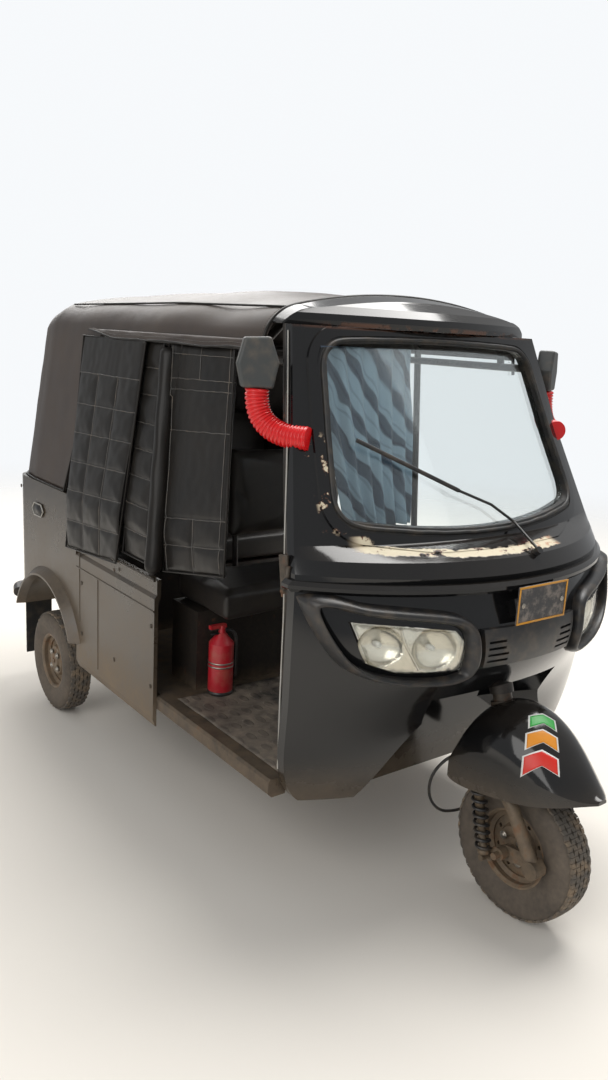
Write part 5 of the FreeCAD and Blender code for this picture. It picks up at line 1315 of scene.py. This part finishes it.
def makeHubs():
    s = hubSizes
    for name, body, x, y, height in hubPlaces:
        nuts = []
        for turn in (math.pi / 4 + k * math.pi / 2 for k in range(4)):
            place = (x, y + s["ring"] * math.cos(turn), s["axle"] + s["ring"] * math.sin(turn))
            nuts.append((place, (math.copysign(1, x), 0, 0)))
        settled(name, fasteners(nuts, "zinc", s["nut"], height), "zinc", body)


doorEdge = [(-0.4955, -0.520, 1.600), (-0.525, -0.572, 1.450), (-0.5535, -0.623, 1.297), (-0.5895, -0.678, 1.121),
            (-0.606, -0.706, 1.030), (-0.6175, -0.731, 0.900), (-0.618, -0.732, 0.760), (-0.6145, -0.730, 0.600),
            (-0.6035, -0.719, 0.440)]
sideBolts = [(-0.020, 0.640), (-0.020, 0.430), (0.545, 0.640), (0.545, 0.440), (0.26, 0.430), (0.26, 0.760),
             (0.620, 0.905), (1.180, 0.905)]
ventOutline = [(-0.060, 0), (-0.036, 0.025), (0.036, 0.025), (0.060, 0), (0.036, -0.025), (-0.036, -0.025)]


def makeDoorTrim():      # the worn bright edge, the channel's bracket, creases and bolts of the side panel
    settled("doorEdge", pipe(doorEdge, 0.0022), "worn")
    turn = Matrix.Rotation(math.atan2(-0.42, -0.90) - math.pi, 4, "Z")
    plate = boxMesh((-0.005, -0.013, -0.058), (0.004, 0.013, 0.058), 0.0015)
    plate.transform(Matrix.Translation((-0.613, -0.722, 0.985)) @ Matrix.Rotation(math.radians(-7), 4, "Y") @ turn)
    outline = [(-0.030, 0.0001), (-0.030, 0.0075), (0.030, 0.0075), (0.030, 0.0001)]
    knuckle = turnedMesh(outline, (-0.615, -0.736, 0.985), "Z", 20)
    settled("doorBracket", gathered(plate, knuckle), "running_gear", slot=None)
    bolts = [(Vector((-0.6175, -0.721, z)), Vector((-0.90, -0.42, 0.0))) for z in (0.945, 1.025)]
    bolts += [(Vector((-0.631, y, z)), Vector((-1, 0, 0))) for y, z in sideBolts]
    settled("sideBolts", fasteners(bolts, "running_gear", 0.0055, 0.004), "running_gear", slot=None)
    creases = [pipe([(-0.6300, y, 0.693) for y in (-0.036, 0.2, 0.4, 0.594)], 0.0030, "POLY"),
               pipe([(-0.6300, 0.40, z) for z in (0.690, 0.55, 0.345)], 0.0026, "POLY"),
               pipe([(-0.6300, 0.565, z) for z in (0.795, 0.60, 0.48)], 0.0026, "POLY"),
               pipe([(-0.6285, y, 0.7975) for y in (-0.037, 0.2, 0.4, 0.597)], 0.0048, "POLY")]
    settled("sideCreases", gathered(*creases), "black_paint")
    hexagon = [(-0.6325, 0.980 + a, 0.838 + b - a * 0.02) for a, b in ventOutline]
    sides = [(i, (i + 1) % 6, 6 + (i + 1) % 6, 6 + i) for i in range(6)]
    lid = woven(hexagon + [(x - 0.004, y, z) for x, y, z in hexagon],
                [(0, 1, 2, 3, 4, 5), (11, 10, 9, 8, 7, 6)] + sides)
    settled("sideVent", tidied(lid), "black_plastic")
    rim = pipe([(x - 0.003, y, z) for x, y, z in hexagon + hexagon[:1]], 0.0028, "POLY")
    settled("ventRim", rim, "worn")


beadSizes = {"middle": 1.335, "turns": 100, "first": 0.14, "step": 0.002, "steps": 260, "radius": 0.0062}


def makeSealBead():      # the rounded lip of the rubber round the screen
    s, tree, line = beadSizes, treeOf("windscreen_seal"), []
    for i in range(s["turns"]):
        turn = 2 * math.pi * i / s["turns"]
        reached = []
        for k in range(s["steps"]):
            reach = s["first"] + s["step"] * k
            x, z = reach * math.cos(turn), s["middle"] + reach * math.sin(turn)
            spot = tree.ray_cast((x, -2.0, z), (0, 1, 0))[0]
            if spot is not None:
                reached.append(spot)
        line.append(reached[len(reached) // 2] + Vector((0, -0.001, 0)))
    settled("sealBead", pipe(line, s["radius"], cyclic=True), "seal_rubber")


# (x, y) of the bottle's axis, and the hose's places from that axis
bottleSizes = {"axis": (-0.420, -0.118), "straps": (0.500, 0.513), "hoseRadius": 0.0062,
               "hose": ((0.016, 0, 0.622), (0.044, -0.006, 0.618), (0.052, -0.010, 0.580),
                        (0.051, -0.012, 0.500), (0.050, -0.012, 0.455))}


def bandMesh(low, high, inner, outer, centre):      # a short upright tube
    outline = [(low, inner), (low, outer), (high, outer), (high, inner)]
    return turnedMesh(outline, (*centre, 0), "Z", 48)


def makeExtinguisherParts():      # straps, foot, levers and hose
    s = bottleSizes
    x, y = s["axis"]
    straps = gathered(*[bandMesh(z, z + 0.005, 0.0425, 0.0436, s["axis"]) for z in s["straps"]])
    foot = bandMesh(0.4005, 0.416, 0.0400, 0.0432, s["axis"])
    hose = pipe([(x + a, y + b, z) for a, b, z in s["hose"]], s["hoseRadius"])
    levers = [boxMesh((x - 0.046, y - 0.007, 0.628), (x + 0.012, y + 0.007, 0.633), 0.001),
              boxMesh((x - 0.040, y - 0.006, 0.612), (x - 0.008, y + 0.006, 0.616), 0.001)]
    settled("extinguisherStrap", straps, "zinc")
    settled("extinguisherFittings", gathered(foot, hose, *levers), "black_plastic")


# Plain three-colour mark on the mudguard
markSizes = {"middle": (-0.048, -1.150, 0.562), "out": (-0.55, -0.50, 0.67), "along": (0.095, 0.085, 0.105),
             "grain": 0.006, "thick": 0.0006}
# each chevron: its paint, its place along the mark, its length and half its width
markShapes = [("red", -0.062, 0.062, 0.044), ("orange", 0.000, 0.056, 0.040), ("green", 0.056, 0.048, 0.034)]


def markPatch(tree, outline, lift):
    s = markSizes
    out, along = Vector(s["out"]).normalized(), Vector(s["along"])
    along = (along - out * along.dot(out)).normalized()
    across = along.cross(out)
    bm = bmesh.new()
    bm.faces.new([bm.verts.new((a, b, 0)) for a, b in outline])
    bmesh.ops.triangulate(bm, faces=bm.faces)
    mesh = bpy.data.meshes.new("mark")
    bm.to_mesh(mesh)
    bm.free()
    mesh = finer(mesh, s["grain"])
    for v in mesh.vertices:
        start = Vector(s["middle"]) + along * v.co.x + across * v.co.y + out * 0.2
        spot, side, _, _ = tree.ray_cast(start, -out)
        if spot is None:
            spot, side, _, _ = tree.find_nearest(start - out * 0.2)
        v.co = spot + side * lift
    return facing(mesh, out)


def makeMark():
    tree = treeOf("front_mudguard")
    for paint, place, long, wide in markShapes:
        for name, grow, lift in (("Back", 0.005, 0.0006), ("", 0.0, 0.0013)):      # a white edge behind each
            a, w = long / 2 + grow, wide + grow
            shape = [(place - a, -w), (place - a * 0.2, 0.002), (place - a * 0.8, w), (place + a * 0.5, w * 0.9),
                     (place + a, 0.0), (place + a * 0.4, -w)]
            patch = thickened(markPatch(tree, shape, lift), markSizes["thick"])
            settled(paint + "Mark" + name, patch, "white" if name else paint, "steering")


makeCanopy()
makeCanopyTrim()
makeValances()
print("canopy made")
makeCurtains()
makeRoll()
print("curtains made")
for name in [n for n in nodes if slotOf[n] == "vinyl_seat"]:
    makeCushion(name)
print("seats made")
makeMirrors()
makeHeadlamps()
makeLampMouldings()
print("lamps made")
makeTyre("frontTread", (0.0, -1.088, 0.208), "front_wheel", "front_tyre")
makeTyre("rearTreadRight", (-0.572, 0.897, 0.208), "rear_wheel_right", "rear_tyre_right")
makeTyre("rearTreadLeft", (0.572, 0.897, 0.208), "rear_wheel_left", "rear_tyre_left")
makeSprings()
makeHose()
makeHubs()
print("wheels made")
makePlateBorder()
makeCabCloth()
makeMat()
makeControls()
makeDoorTrim()
makeSealBead()
makeExtinguisherParts()
makeMark()
print("small pieces made")


# Floor, lights and camera
stageSizes = {"half": 20, "clearFrom": 2.6, "clearAt": 8.0, "light": 0.45, "seen": 1.0}
# each lamp: its name, place, size and power
stageLamps = [("keyLamp", (2.4, 0.2, 6.8), 4.5, 500.0), ("fillLamp", (-5.2, -2.0, 3.6), 4.0, 135.0),
              ("backLamp", (1.5, 5.5, 4.5), 4.0, 200.0)]


def makeStage():
    s = stageSizes
    half = s["half"]
    corners = [(-half, -half, 0), (half, -half, 0), (half, half, 0), (-half, half, 0)]
    floor = linked("paleFloor", woven(corners, [(0, 1, 2, 3)]))
    p = Paint("paleFloor", Roughness=0.9)
    p.shader.inputs["Base Color"].default_value = (0.80, 0.76, 0.70, 1.0)
    reach = p.add("VectorMath", {"operation": "LENGTH"}, {0: p.place}, 1)
    clear = p.add("BsdfTransparent", {}, {})
    body = Wire(p, p.shader.outputs[0])
    blend = p.add("MixShader", {}, {0: p.step(reach, s["clearFrom"], s["clearAt"]), 1: body, 2: clear})
    p.tree.links.new(blend.socket, p.output.inputs[0])
    floor.data.materials.append(p.material)
    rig.stage(floor)


def makeLights():
    for name, place, size, power in stageLamps:
        data = bpy.data.lights.new(name, "AREA")
        data.energy, data.size, data.color = power, size, (1.0, 0.985, 0.96)
        lamp = linked(name, data)
        lamp.location = place
        lamp.rotation_euler = (Vector((0, 0, 0.7)) - Vector(place)).to_track_quat("-Z", "Y").to_euler()
    world = bpy.data.worlds.new("world")
    bpy.context.scene.world = world
    world.use_nodes = True
    tree = world.node_tree
    back = tree.nodes["Background"]
    back.inputs["Color"].default_value = (0.93, 0.95, 0.97, 1.0)
    paths, either, level = [tree.nodes.new("ShaderNode" + kind) for kind in ("LightPath", "Math", "MapRange")]
    either.operation = "MAXIMUM"
    tree.links.new(paths.outputs["Is Camera Ray"], either.inputs[0])
    tree.links.new(paths.outputs["Is Transmission Ray"], either.inputs[1])
    tree.links.new(either.outputs[0], level.inputs[0])
    level.inputs[3].default_value, level.inputs[4].default_value = stageSizes["light"], stageSizes["seen"]
    tree.links.new(level.outputs[0], back.inputs["Strength"])


def makeCamera():
    view = {"place": (-1.907, -2.494, 1.591), "yaw": 37.28, "pitch": 13.05, "roll": 3.10, "focal": 885.0}
    longSide, sensor = 1080.0, 36.0
    data = bpy.data.cameras.new("camera")
    data.sensor_width = sensor
    data.lens = view["focal"] / longSide * sensor
    yaw, pitch, roll = [math.radians(view[k]) for k in ("yaw", "pitch", "roll")]
    ahead = Vector((math.sin(yaw) * math.cos(pitch), math.cos(yaw) * math.cos(pitch), -math.sin(pitch)))
    right = Vector((math.cos(yaw), -math.sin(yaw), 0))
    up = right.cross(ahead)
    right, up = right * math.cos(roll) + up * math.sin(roll), up * math.cos(roll) - right * math.sin(roll)
    camera = linked("camera", data)
    camera.matrix_world = Matrix.Translation(view["place"]) @ Matrix((right, up, -ahead)).transposed().to_4x4()
    bpy.context.scene.camera = camera


makeStage()
makeLights()
makeCamera()
bpy.context.scene.view_settings.view_transform = "Standard"
with open("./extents.json", "w") as sizes:
    json.dump({"cad": cadBox, "visual": [list(corner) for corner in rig.bounds()]}, sizes)
print("stage made")
